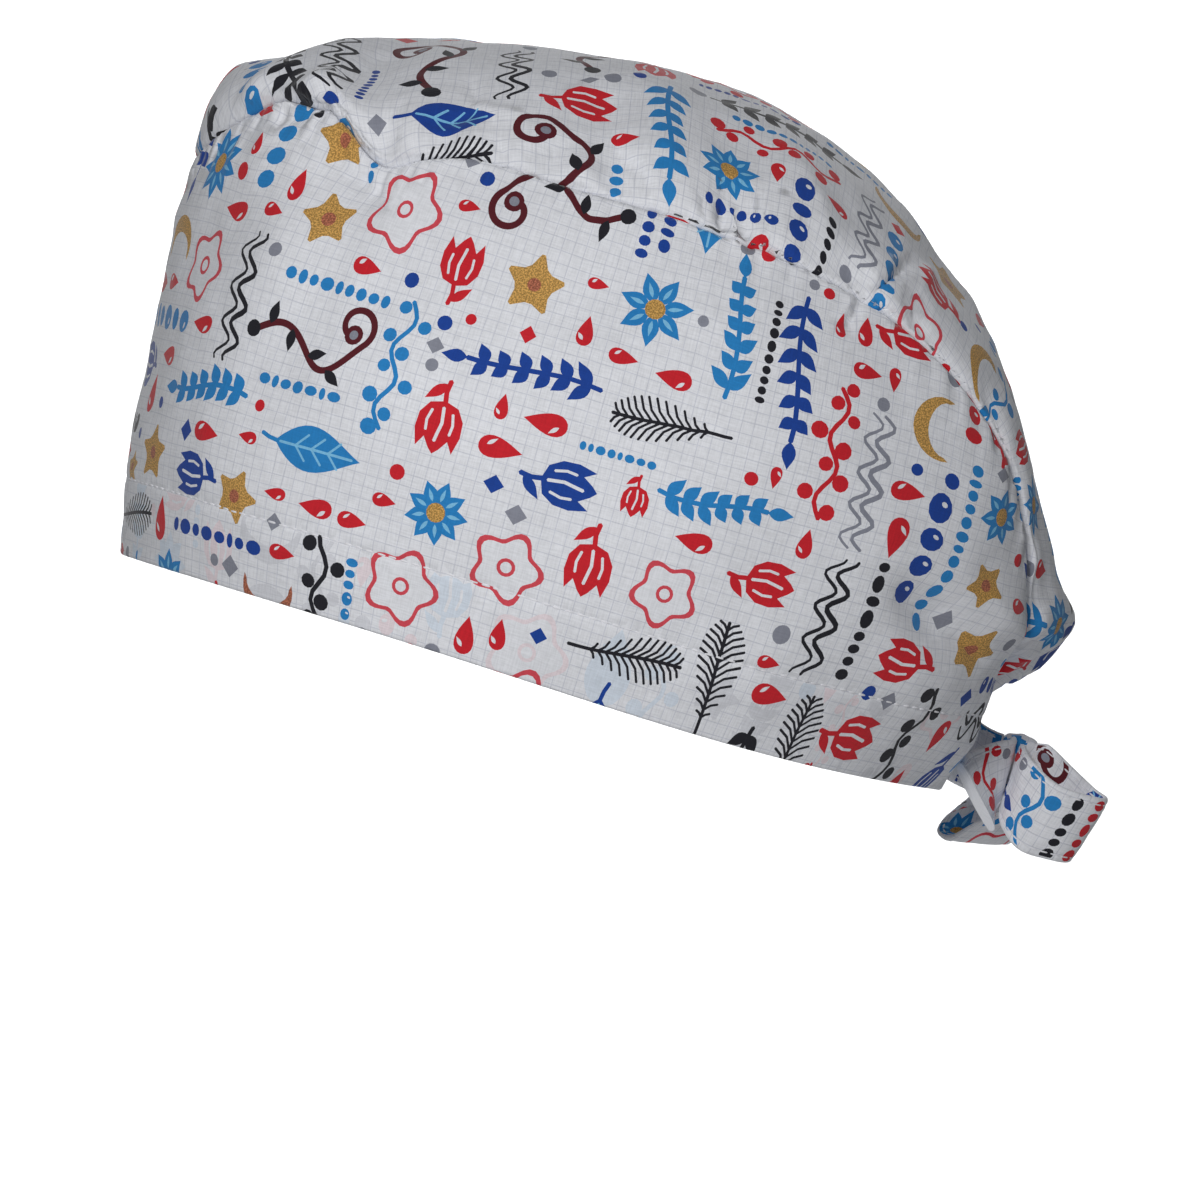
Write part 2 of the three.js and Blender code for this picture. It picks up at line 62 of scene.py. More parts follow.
FOLD_HEIGHT = 4
LOBE_DROP = 5.5
STRAP_WIDTH = 18
STRAP_THICKNESS = 2
END_HEM = 1.4
TIE_GAP = 0.3
KNOT_WIDTH = 12
KNOT_DEPTH = 11
KNOT_HEIGHT = 17
KNOT_SETBACK = 9.4
KNOT_DROP = 2.6
LOOP_REACH = 20
LOOP_SPREAD = 12
TAIL_REACH = 10

TURN, SEAM_OUT, SEAM_BACK, SEAM_HIGH, RIDGE_BACK, RIDGE_HIGH, SWELL, PUFF, ARC = range(9)
SECTIONS = np.array([
    [0, 0, -0.745, 0.936, -0.745, 0.936, 0.3, 0, 60],
    [17, 0.358, -0.682, 0.909, -0.689, 0.955, 0.42, 0, 60],
    [35, 0.683, -0.51, 0.864, -0.51, 0.98, 0.65, 0, 60],
    [51, 0.829, -0.316, 0.795, -0.286, 0.998, 0.8, 0, 60],
    [64, 0.911, -0.122, 0.785, -0.082, 0.989, 0.9, 0, 60],
    [77, 0.976, 0.092, 0.742, 0.122, 0.973, 1, 0, 60],
    [91, 1, 0.316, 0.699, 0.357, 0.949, 1, 0, 60],
    [105, 0.992, 0.561, 0.64, 0.612, 0.881, 1, 0, 61],
    [118, 0.935, 0.779, 0.572, 0.857, 0.76, 1, 0, 62],
    [129, 0.854, 0.959, 0.483, 1.039, 0.615, 0.95, 0, 62],
    [139, 0.764, 1.098, 0.371, 1.155, 0.443, 0.85, 0, 66],
    [147, 0.675, 1.16, 0.268, 1.206, 0.275, 0.7, 0.2, 74],
    [154, 0.585, 1.182, 0.174, 1.212, 0.159, 0.55, 0.5, 82],
    [160, 0.488, 1.169, 0.073, 1.209, 0.079, 0.38, 1, 86],
    [165.5, 0.366, 1.128, 0.007, 1.158, -0.012, 0.2, 0.65, 80],
    [170, 0.228, 1.074, -0.049, 1.087, -0.05, 0.1, 0, 62],
])
OTHER_SIDE = np.array([-1, -1, 1, 1, 1, 1, 1, 1, 1])  # times a row, gives it beyond the front
LAST = len(SECTIONS) - 1

# side, at, width, drop
SEAM_DROPS = [(1, 2.25, 0.34, -0.4), (1, 2.8, 0.34, 0.75)]

# side, at, lean, width, from, to, height
TOP_FOLDS = [
    (1, 2.62, 0.5, 0.5, 0, 0.3, 0.9),
    (1, 1.4, 1.2, 0.36, 0.05, 0.95, 0.45),
    (1, 1.95, 1.3, 0.34, 0.1, 0.9, -0.4),
    (1, 3.8, -0.5, 0.4, 0.12, 0.45, -0.35),
    (0, 5.3, 0.2, 0.36, 0, 0.45, -0.35),
    (0, 6.6, 0.3, 0.36, 0, 0.4, -0.3),
    (1, 7.6, 0.2, 0.36, 0, 0.5, 0.3),
    (-1, 2.2, 0.9, 0.4, 0.05, 0.8, 0.35),
    (-1, 3.6, 0.4, 0.4, 0, 0.45, -0.3),
    (-1, 8.2, 0.2, 0.4, 0, 0.5, -0.3),
    (1, 12.2, 0.2, 0.7, 0, 0.4, -0.4),
    (-1, 12.4, 0, 0.6, 0, 0.4, -0.35),
    (0, 13.75, 0, 0.3, 0.35, 1.6, -0.25),
]

# side, at, width, up, tall, out
SIDE_FOLDS = [
    (0, 0.2, 1.2, 0.86, 0.09, 0.3),
    (1, 8.4, 0.55, 0.9, 0.08, -0.25),
    (1, 9.8, 0.8, 0.93, 0.05, 0.3),
    (1, 5, 1.4, 0.7, 0.2, -0.25),
    (-1, 4.2, 1.2, 0.6, 0.2, -0.3),
    (-1, 8.6, 0.8, 0.85, 0.1, -0.4),
    (0, 13.4, 0.8, 0.6, 0.25, -0.3),
]

# Creases of each side as that side is seen: height, width to the left and right of the line, and
# the line's points as y, z.
LEFT_CREASES = [
    # the pleat behind the front corner
    (2.4, 9, 1.2, [
        (-64.4, 131.2), (-57.7, 135.7), (-50.4, 139.3), (-44.6, 143.1), (-39.2, 147.1), (-32.0, 149.8),
    ]),
    # the hollow between it and the lobe
    (-1.2, 2.4, 2.4, [(-61.1, 130.2), (-54.6, 133.1), (-48.2, 135.7)]),
    (0.8, 0.9, 0.9, [(-51.1, 137.9), (-48.2, 135.0), (-45.8, 131.9)]),
    (-0.8, 0.8, 0.8, [(-47.5, 139.3), (-46.3, 136.0), (-45.1, 132.9)]),
    # below the lobe
    (-1.8, 2.2, 5, [(-47.5, 129.5), (-44.6, 121.7), (-39.2, 116.2), (-33.5, 112.1)]),
    # on the lobe
    (-1.2, 1.5, 1.5, [(-27.3, 130.5), (-19.2, 131.9), (-11.5, 132.4)]),
    (1.1, 1.5, 1.8, [(-15.8, 134.3), (-7.0, 132.9), (-0.6, 133.1)]),
    (-0.9, 1.5, 1.5, [(-15.6, 141.2), (-13.9, 137.1), (-13.0, 134.0)]),
    (-0.8, 1.2, 1.4, [(-9.6, 127.1), (-7.7, 124.3), (-6.3, 121.2)]),
    (-1.0, 1.5, 2.2, [(-3.0, 123.1), (4.2, 125.0), (10.8, 126.0)]),
    # where the top turns away
    (1.5, 1.2, 6, [(1.8, 135.7), (11.3, 137.9), (16.8, 139.3), (25.6, 140.7), (39.9, 139.8)]),
    (-1.2, 1.2, 2.6, [(18.9, 125.0), (25.4, 120.5), (28.9, 114.0)]),
    # along the seam
    (-0.8, 1.2, 1.2, [(39.6, 114.5), (41.3, 105.5)]),
    (-1.1, 1.1, 1.1, [(44.6, 112.6), (45.8, 103.1)]),
    (0.9, 1.0, 1.0, [(47.5, 111.2), (49.2, 101.7)]),
    (-1.0, 1.0, 1.0, [(50.4, 108.3), (52.3, 99.3)]),
    (0.8, 1.1, 1.1, [(53.9, 107.4), (56.3, 98.3)]),
    # the long ridge at the back
    (1.8, 3.8, 7, [(57.0, 128.8), (63.7, 118.6), (67.7, 112.9), (70.1, 105.7), (71.3, 96.9)]),
    # the dent behind it
    (-2.2, 1.6, 1.6, [(80.4, 89.3), (85.6, 93.6), (89.2, 96.4), (91.8, 99.8)]),
    (1.0, 2.0, 2.0, [(92.6, 89.5), (94.2, 94.0), (95.3, 97.6)]),
    (0.9, 1.5, 1.5, [(83.2, 86.9), (88.7, 85.7), (94.2, 85.2)]),
    (-1.5, 1.3, 1.7, [(80.1, 89.8), (77.0, 85.2), (74.4, 80.2)]),
    (0.9, 1.8, 1.8, [(76.8, 89.8), (73.2, 83.3)]),
    # round the hollow above the tie
    (1.4, 3.5, 3.5, [(108.9, 19.8), (114.9, 10.2), (119.4, 3.1)]),
    (-1.0, 1.2, 1.2, [(101.3, 7.4), (105.4, 5.0), (109.4, -0.2)]),
    # the front
    (-0.7, 1.5, 1.5, [(-78.5, 130.7), (-79.2, 125.2), (-80.1, 119.8)]),
]
# The right side creases at the same places more or less, and not as deeply.
RIGHT_CREASES = [
    (0.75 * height, left, right, [(y + 5 * math.sin(2 * i + 1), z + 2 * math.cos(3 * i)) for y, z in line])
    for i, (height, left, right, line) in enumerate(LEFT_CREASES)
]
EYE = (1600, 16.07, 16.9)  # where the photo was taken from

# Where the crown's middle lies lower than the solids': y, z, width and depth.
RIDGE_DIPS = [
    (-46, 149, 15, 2.3), (38, 143, 12, 1.2), (98, 98, 10, 2.2), (120, 38, 11, 1.9), (-91, 70, 12, 1.1),
]

OUT, SLOT, BACK, UP, LEAN, WIDE, HEM = range(7)
LEFT_LOOP = np.array([
    [0, 0.32, 0, 0, 0, 0.86, 0],
    [0.22, 0.32, 0.1, -0.02, -4, 0.93, 0],
    [0.28, 0.2, 0.4, -0.2, -12, 1, 0],
    [0.34, 0, 0.83, -0.38, -16, 1, 0],
    [0.62, 0, 0.98, -0.44, -16, 1, 0],
    [0.92, 0, 0.8, -0.47, -17, 1, 0],
    [1, 0, 0.38, -0.45, -16, 1, 0],
    [0.6, 0.02, 0.06, -0.25, -10, 0.95, 0],
    [0, 0.02, 0, -0.06, 0, 0.86, 0],
])
RIGHT_LOOP = np.array([
    [0, 0.32, 0, 0, 0, 0.86, 0],
    [0.2, 0.34, 0.02, -0.03, -8, 0.86, 0],
    [0.42, 0.36, 0, -0.24, -36, 0.86, 0],
    [0.55, 0.34, -0.1, -0.62, -66, 0.86, 0],
    [0.8, 0.2, -0.22, -0.92, -78, 0.86, 0],
    [1.14, 0.08, -0.3, -0.84, -72, 0.86, 0],
    [1.3, 0.06, -0.26, -0.42, -46, 0.86, 0],
    [0.95, 0.04, -0.1, -0.08, -14, 0.86, 0],
    [0, 0.02, 0, 0, 0, 0.86, 0],
])
LEFT_TAIL = np.array([
    [0, -0.2, 0, 0, 0, 0.86, 0],
    [0.15, -0.2, 0, -0.08, 0, 0.88, 0],
    [0.42, -0.2, -0.2, -0.26, 10, 0.94, 0],
    [0.84, -0.2, -0.5, -0.6, 34, 1, 0],
    [1.02, -0.2, -0.6, -0.85, 43, 1, 1],
])
RIGHT_TAIL = np.array([
    [0, -0.2, 0, 0, 0, 0.86, 0],
    [0.14, -0.2, -0.02, 0, 0, 0.86, 0],
    [0.34, -0.2, -0.12, -0.06, 4, 0.86, 0],
    [0.52, -0.2, -0.36, -0.12, 8, 0.86, 0],
    [0.6, -0.2, -0.62, -0.16, 12, 0.86, 1],
])

# The cloth as it shows.
CLOTH = 0.5  # thickness
HEM_FOLD = 0.62  # radius of the fold along the rim
HEM_BEND = math.pi * HEM_FOLD / 2  # cloth on each side of the fold's line that bends with it
HEM_TURN = 20.5  # how much cloth is turned up inside
ALLOWANCE = 7  # cloth past the seam, inside the cap
SEAM_ROUND = 1.3  # how far from the seam the cloth starts to turn in
SEAM_GAP = 0.34  # how far each panel's cloth keeps from the seam's line
SEAM_REACH = 16  # how far inside the seam the distance to it matters
CORNER_BULGE = 3.2  # how far the front corner of the crown stands out
POUCH_LIFT = 3.2  # how much higher the pouch's lower edge hangs than the solid's
TIE_HOLLOW = 5.5  # how deep the hollow above the tie is on the left; it's shallower on the right
FRONT_WRAP = (6.5, 20)  # how far forward and down the crown comes over the front
FRONT_ROWS = 1.9  # rows of SECTIONS that this reaches

# Places in the side view, as y and z, and how far the forms there reach.
HOLLOW_AT, HOLLOW_REACH = (98.5, 11), (13, 6.5)  # along the hollow and across it
POUCH_EDGE, POUCH_REACH = (114, -8), 10
CORNER_REACH = 13
RIDGE_REACH = 28  # how far to each side the dips in the crown's middle go
SIDES_BEGIN = (6, 24)  # how far from the middle the creases of a side start and are fully there
FRONT_CORNER = np.array([0, -0.75 * RIM_HALF_LENGTH, 0.88 * CROWN_HEIGHT])
CAP_MIDDLE = np.array([0, 0.2 * RIM_HALF_LENGTH, 0.25 * CROWN_HEIGHT])  # the crown stands away from it


def bell(x):
    return np.exp(-x * x)


def smooth(x, lo, hi):
    f = np.clip((x - lo) / (hi - lo), 0, 1)
    return f * f * (3 - 2 * f)


def unit(v):
    return v / np.maximum(np.linalg.norm(v, axis=-1, keepdims=True), 1e-12)


def xy(x, y):
    """Points of the flat cloth from their coordinates, of which one may be a single number."""
    return np.stack(np.broadcast_arrays(x, y), -1)


def walked(points):
    """The distance along a line of points, at each of them."""
    return np.concatenate([[0], np.cumsum(np.linalg.norm(np.diff(points, axis=0), axis=1))])


def curve(rows, t, before=None):
    """A smooth curve through the rows of a table, read at rows t."""
    last = len(rows) - 1
    before = 2 * rows[0] - rows[1] if before is None else before
    full = np.vstack([before, rows, 2 * rows[-1] - rows[-2]])
    i = np.clip(np.floor(t).astype(int), 0, last - 1)
    f = (t - i)[..., None]
    a, b, c, d = full[i], full[i + 1], full[i + 2], full[i + 3]
    return b + 0.5 * ((c - a) * f + (2 * a - 5 * b + 4 * c - d) * f**2 + (3 * b - 3 * c + d - a) * f**3)


def sections(t):
    return curve(SECTIONS, t, SECTIONS[1] * OTHER_SIDE)


def rim_point(row):
    a = np.radians(row[..., TURN])
    fuller = 1 + RIM_FULLNESS * np.sin(2 * a) ** 2
    ear = bell((row[..., TURN] - EAR_TURN) / EAR_SPREAD)
    return np.stack([
        RIM_HALF_WIDTH * np.sin(a) * fuller,
        -RIM_HALF_LENGTH * np.cos(a),
        RIM_RISE * np.cos(a) - EAR_DIP * ear,
    ], -1)


def seam_point(row, t, side):
    drop = sum((s == side) * d * bell((t - at) / w) for s, at, w, d in SEAM_DROPS)
    low = 1 - smooth(t, 0, FRONT_ROWS)
    return np.stack([
        SEAM_HALF_WIDTH * row[..., SEAM_OUT],
        RIM_HALF_LENGTH * row[..., SEAM_BACK] - FRONT_WRAP[0] * low,
        CROWN_HEIGHT * row[..., SEAM_HIGH] - LOBE_DROP * drop - FRONT_WRAP[1] * low,
    ], -1)


def side_view(p):
    """Where points of the cap show in the photo, as y and z of the median plane."""
    near = EYE[0] / (EYE[0] - np.abs(p[..., 0]))
    return EYE[1] + (p[..., 1] - EYE[1]) * near, EYE[2] + (p[..., 2] - EYE[2]) * near


def crease_height(y, z, creases):
    """How far the cloth stands out at a point of the side view."""
    total = np.zeros(y.shape)
    for height, wide_left, wide_right, line in creases:
        line = np.array(line)
        reach = 3 * max(wide_left, wide_right)
        lo, hi = line.min(0) - reach, line.max(0) + reach
        k = (y > lo[0]) & (y < hi[0]) & (z > lo[1]) & (z < hi[1])
        if not k.any():
            continue
        yk, zk = y[k], z[k]
        steps = np.linalg.norm(np.diff(line, axis=0), axis=1)
        before = walked(line)
        best, gap, share = np.full(yk.shape, np.inf), np.zeros(yk.shape), np.zeros(yk.shape)
        for i, step in enumerate(steps):
            dy, dz = (line[i + 1] - line[i]) / step
            along = np.clip((yk - line[i][0]) * dy + (zk - line[i][1]) * dz, 0, step)
            ey, ez = yk - line[i][0] - along * dy, zk - line[i][1] - along * dz
            dist = np.hypot(ey, ez)
            turn = dy * ez - dz * ey
            nearer = dist < best
            best = np.where(nearer, dist, best)
            gap = np.where(nearer, np.where(turn > 0, -dist, dist), gap)
            share = np.where(nearer, (before[i] + along) / before[-1], share)
        wide = np.where(gap < 0, wide_left, wide_right)
        taper = np.sin(np.pi * np.clip(share, 0, 1)).clip(0) ** 0.7
        total[k] += height * np.exp(-((best / wide) ** 1.7)) * taper
    return total


def creased(p):
    """Points of the cap moved in or out by the creases of their side, and by the larger soft forms."""
    y, z = side_view(p)
    left, right = smooth(p[..., 0], *SIDES_BEGIN), smooth(-p[..., 0], *SIDES_BEGIN)
    out = left * crease_height(y, z, LEFT_CREASES) + right * crease_height(y, z, RIGHT_CREASES)
    back, high = y - HOLLOW_AT[0], z - HOLLOW_AT[1]
    down, across = (back - high) / math.sqrt(2), (back + high) / math.sqrt(2)
    hollow = bell(np.hypot(down / HOLLOW_REACH[0], across / HOLLOW_REACH[1]))
    out = out - TIE_HOLLOW * (left + 0.7 * right) * hollow
    corner = (p - FRONT_CORNER) * [0.5, 1, 1]
    out = out + CORNER_BULGE * bell(np.linalg.norm(corner, axis=-1) / CORNER_REACH)
    for at, up, wide, deep in RIDGE_DIPS:
        dip = deep * bell(np.hypot(p[..., 1] - at, p[..., 2] - up) / wide)
        out = out - dip * bell(p[..., 0] / RIDGE_REACH)
    lift = POUCH_LIFT * bell(np.hypot(p[..., 1] - POUCH_EDGE[0], p[..., 2] - POUCH_EDGE[1]) / POUCH_REACH)
    return p + unit(p - CAP_MIDDLE) * out[..., None] + lift[..., None] * np.array([0, 0, 1])


def on_side(fold_side, side):
    return 1.0 if fold_side == 0 else (side == fold_side) * 1.0


def side_point(s, v):
    """The side panel's outer face. s is the row, below 0 on the right, and v runs from rim to seam."""
    s, v = np.broadcast_arrays(np.asarray(s, float), np.asarray(v, float))
    t = np.abs(s)
    side = np.where(s < 0, -1.0, 1.0)
    row = sections(t)
    a = np.radians(row[..., TURN])
    outwards = unit(np.stack([np.sin(a) * RIM_HALF_LENGTH, -np.cos(a) * RIM_HALF_WIDTH, 0 * a], -1))
    out = SIDE_SWELL * row[..., SWELL] * np.sin(np.pi * v)
    ends = np.sqrt(np.maximum(np.sin(np.pi * np.clip(v, 0, 1)), 0))
    for fold_side, at, width, up, tall, height in SIDE_FOLDS:
        near = bell((t - at) / width) * bell((v - up) / tall) * ends
        out = out + on_side(fold_side, side) * FOLD_HEIGHT * height * near
    rim = rim_point(row)
    p = rim + (seam_point(row, t, side) - rim) * v[..., None] + outwards * out[..., None]
    p[..., 0] *= side
    return creased(p)


def top_point(t, w):
    """The top panel's outer face, from the right seam at w = -1 to the left one at w = 1."""
    t, w = np.broadcast_arrays(np.asarray(t, float), np.asarray(w, float))
    side = np.where(w < 0, -1.0, 1.0)
    row = sections(t)
    arc = np.radians(row[..., ARC])
    seam = seam_point(row, t, side)
    low = 1 - smooth(t, 0, 0.9)
    back = RIM_HALF_LENGTH * row[..., RIDGE_BACK] + POUCH_PUFF * row[..., PUFF] - FRONT_WRAP[0] * low
    top = CROWN_HEIGHT * row[..., RIDGE_HIGH] - FRONT_WRAP[1] * low
    rise = (np.cos(arc * w) - np.cos(arc)) / (1 - np.cos(arc))
    p = np.stack([
        seam[..., 0] * np.sin(arc * w) / np.sin(arc),
        seam[..., 1] + (back - seam[..., 1]) * rise,
        seam[..., 2] + (top - seam[..., 2]) * rise,
    ], -1)
    c = 1 - np.abs(w)
    eased = (c / 0.16) * np.exp(1 - c / 0.16) * np.minimum(1, t)
    out = PUCKER_HEIGHT * eased * (0.75 + 0.25 * np.cos(5.2 * t + side))
    for fold_side, at, lean, width, start, stop, height in TOP_FOLDS:
        stands = smooth(c, start - 0.12, start + 0.12) * (1 - smooth(c, stop - 0.15, stop + 0.15))
        near = stands * bell((t - at - lean * c) / width) * np.minimum(1, 8 * c)
        out = out + on_side(fold_side, side) * FOLD_HEIGHT * height * near
    return creased(p + unit(p - CAP_MIDDLE) * out[..., None])


def square_to(face, a, b, da, db):
    """Unit normals of face(a, b), on the side that a turned to b gives."""
    return unit(np.cross(face(a + da, b) - face(a - da, b), face(a, b + db) - face(a, b - db)))


def waves(seed, count, shortest, longest):
    """A soft, seeded unevenness of the flat cloth, about 1 high, as a function of its coordinates."""
    rng = np.random.default_rng(seed)
    length = np.exp(rng.uniform(np.log(shortest), np.log(longest), count))
    turn = rng.uniform(0, np.pi, count)
    phase = rng.uniform(0, 2 * np.pi, count)
    kx, ky = 2 * np.pi / length * np.cos(turn), 2 * np.pi / length * np.sin(turn)

    def height(x, y):
        return sum(np.sin(a * x + b * y + c) for a, b, c in zip(kx, ky, phase)) / math.sqrt(count)

    return height


def breadths(face, t, way):
    """The length of a surface's rows t, from v = 0 to v = way."""
    points = face(t[:, None], np.linspace(0, way, 25)[None, :])
    return np.linalg.norm(np.diff(points, axis=1), axis=2).sum(1)


# Flat coordinates of the side panel: u along the band, m up from the rim.
S_GRID = np.linspace(-LAST, LAST, 1501)
U_GRID = walked(side_point(S_GRID, 0.5))
U_GRID -= np.interp(0, S_GRID, U_GRID)
H_GRID = breadths(side_point, S_GRID, 1)
U_END = (U_GRID[0], U_GRID[-1])

# Flat coordinates of the top panel: b across from the ridge, a along it from the front.
T_GRID = np.linspace(0, LAST, 1501)
A_GRID = walked(top_point(T_GRID, 0.0))
L_GRID = 0.5 * (breadths(top_point, T_GRID, 1) + breadths(top_point, T_GRID, -1))
A_END = A_GRID[-1]


def half_width(a):
    """Half the top panel's flat width, at a along its ridge."""
    return np.interp(np.interp(a, A_GRID, T_GRID), T_GRID, L_GRID)


def top_edge(s):
    """The seam in the top panel's flat coordinates."""
    t = np.abs(s)
    return np.interp(t, T_GRID, L_GRID) * np.where(s < 0, -1, 1), np.interp(t, T_GRID, A_GRID)


def seam_frames():
    """The seam's rows and line, the direction square to the cap there, and the way to the top panel."""
    s = np.linspace(-LAST, LAST, 601)
    side = np.where(s < 0, -1.0, 1.0)
    point = side_point(s, 1.0)
    n_side = square_to(side_point, s, np.full_like(s, 0.98), 0.04, 0.01)
    n_top = -square_to(top_point, np.clip(np.abs(s), 0.2, LAST - 0.05), side * 0.97, 0.04, 0.01)
    n_top *= np.sign((n_top * n_side).sum(-1))[:, None]
    normal = unit(n_side + n_top)
    up = unit(np.cross(normal, unit(np.gradient(point, s, axis=0))))
    up *= np.sign((up * (point - side_point(s, 0.97))).sum(-1))[:, None]
    return s, point, normal, up


SEAM_S, SEAM_P, SEAM_N, SEAM_UP = seam_frames()


def seam_at(s):
    """The seam's line, normal and way up, and the direction in which its allowances lie."""
    def read(columns):
        return np.stack([np.interp(s, SEAM_S, columns[:, k]) for k in range(3)], -1)

    normal, up = unit(read(SEAM_N)), unit(read(SEAM_UP))
    return read(SEAM_P), normal, up, unit(-0.95 * normal - 0.3 * up)


def turn_in(base, sigma, point, towards, down):
    """Cloth that turns in at the seam. sigma is the distance past the seam, below 0 before it."""
    r = SEAM_ROUND
    before = base + (
        down * ((r + sigma) ** 2 / (4 * r))[..., None]
        + towards * (-sigma - (r - sigma) ** 2 / (4 * r))[..., None]
    )
    bent = point - towards * ((r - sigma) ** 2 / (4 * r))[..., None]
    bent = bent + down * ((r + sigma) ** 2 / (4 * r))[..., None]
    flap = point + down * sigma[..., None]
    turned = np.where((sigma < 0)[..., None], before, np.where((sigma < r)[..., None], bent, flap))
    return np.where((sigma > -r)[..., None], turned, base)


def past_fold(m):
    """How far the cloth lies from its folded edge, at m from the fold's line."""
    return np.where(np.abs(m) > HEM_BEND, np.abs(m) - HEM_BEND + HEM_FOLD, HEM_FOLD)


def fold_back(base, m, normal, down):
    """Cloth that is turned inside the cap where m is below 0."""
    angle = np.clip((HEM_BEND - m) / HEM_FOLD, 0, math.pi)
    return (
        base
        + normal * (HEM_FOLD * (np.cos(angle) - 1))[..., None]
        + down * (HEM_FOLD * np.sin(angle))[..., None]
    )


# Heights of the cloth's unevenness.
SIDE_SOFT, SIDE_RIPPLED, SIDE_PUCKER, STITCH_DENT = 0.8, 0.13, 0.42, 0.42
TOP_SOFT, TOP_RIPPLED, TOP_PUCKER, TOP_ROLL, POUCH_CRUMPLE = 0.55, 0.12, 1.0, 0.9, 0.55
# How far from the rim and the seam it is fully there, and where puckers are highest.
RIM_CALM, SEAM_CALM, END_CALM, POUCH_CALM = 12, 14, 8, 5
SIDE_PUCKER_AT, TOP_PUCKER_AT = 3.2, 3.6
POUCH_ROWS = (12.3, 13.6)  # where the pouch starts to crumple and is fully crumpled

side_wave = waves(11, 9, 34, 110)
side_ripple = waves(12, 9, 9, 22)
top_wave = waves(21, 9, 22, 70)
top_ripple = waves(22, 9, 7, 18)
pucker_wave = waves(31, 6, 5.5, 11)
pouch_wave = waves(41, 8, 6, 15)


def side_face(u, m):
    """The print side of the side panel's cloth as middle surface, at flat coordinates u, m."""
    s = np.interp(u, U_GRID, S_GRID)
    height = np.interp(u, U_GRID, H_GRID)
    v = np.minimum(past_fold(m) / height, 1)
    normal = square_to(side_point, s, np.clip(v, 0.012, 0.988), 0.03, 0.01)
    from_seam = np.maximum(height - np.abs(m), 0)
    soft = SIDE_SOFT * side_wave(u, np.abs(m)) + SIDE_RIPPLED * side_ripple(u, np.abs(m))
    soft = soft * np.minimum(np.abs(m) / RIM_CALM, 1) * np.minimum(from_seam / SEAM_CALM, 1)
    x = from_seam / SIDE_PUCKER_AT
    puckers = SIDE_PUCKER * pucker_wave(u * 1.3, u * 0.4) * x * np.exp(1 - x) * (m > 0)
    stitched = STITCH_DENT * bell((np.abs(m) - HEM_DEPTH) / 0.9)
    base = side_point(s, v) + normal * (soft + puckers - stitched - CLOTH / 2)[..., None]
    body = fold_back(base, m, normal, unit(side_point(s, 0.0) - side_point(s, 0.03)))
    point, seam_n, seam_up, down = seam_at(s)
    body = body - seam_up * (SEAM_GAP * bell(from_seam / 3) * (m > 0))[..., None]
    slope = np.interp(u, U_GRID, np.gradient(H_GRID, U_GRID))
    sigma = (m - height) / np.sqrt(1 + slope**2)
    return turn_in(body, sigma, point - seam_up * SEAM_GAP - seam_n * (CLOTH / 2), seam_up, down)


EDGE_S = np.linspace(-LAST, LAST, 901)
EDGE_B, EDGE_A = top_edge(EDGE_S)


def from_edge(b, a):
    """The row on the seam nearest to a flat point of the top panel, and the distance past the seam."""
    shape = b.shape
    b, a = b.ravel(), a.ravel()
    length = half_width(np.clip(a, 0, A_END))
    inside = (a > 0) & (np.abs(b) < length)
    row = np.zeros(len(b))
    dist = np.full(len(b), -99.0)
    pick = np.nonzero((np.abs(b) > length - SEAM_REACH) | (a < SEAM_REACH))[0]
    for k in np.array_split(pick, max(1, len(pick) // 4000)):
        if not len(k):
            continue
        d2 = (b[k][:, None] - EDGE_B[None]) ** 2 + (a[k][:, None] - EDGE_A[None]) ** 2
        i = np.clip(d2.argmin(1), 1, len(EDGE_S) - 2)
        best = np.full(len(k), np.inf)
        for j in (i - 1, i):
            x0, y0 = EDGE_B[j], EDGE_A[j]
            dx, dy = EDGE_B[j + 1] - x0, EDGE_A[j + 1] - y0
            f = np.clip(((b[k] - x0) * dx + (a[k] - y0) * dy) / (dx * dx + dy * dy), 0, 1)
            d = np.hypot(b[k] - x0 - f * dx, a[k] - y0 - f * dy)
            closer = d < best
            best = np.where(closer, d, best)
            row[k] = np.where(closer, EDGE_S[j] + f * (EDGE_S[j + 1] - EDGE_S[j]), row[k])
        dist[k] = np.where(inside[k], -best, best)
    return row.reshape(shape), dist.reshape(shape)


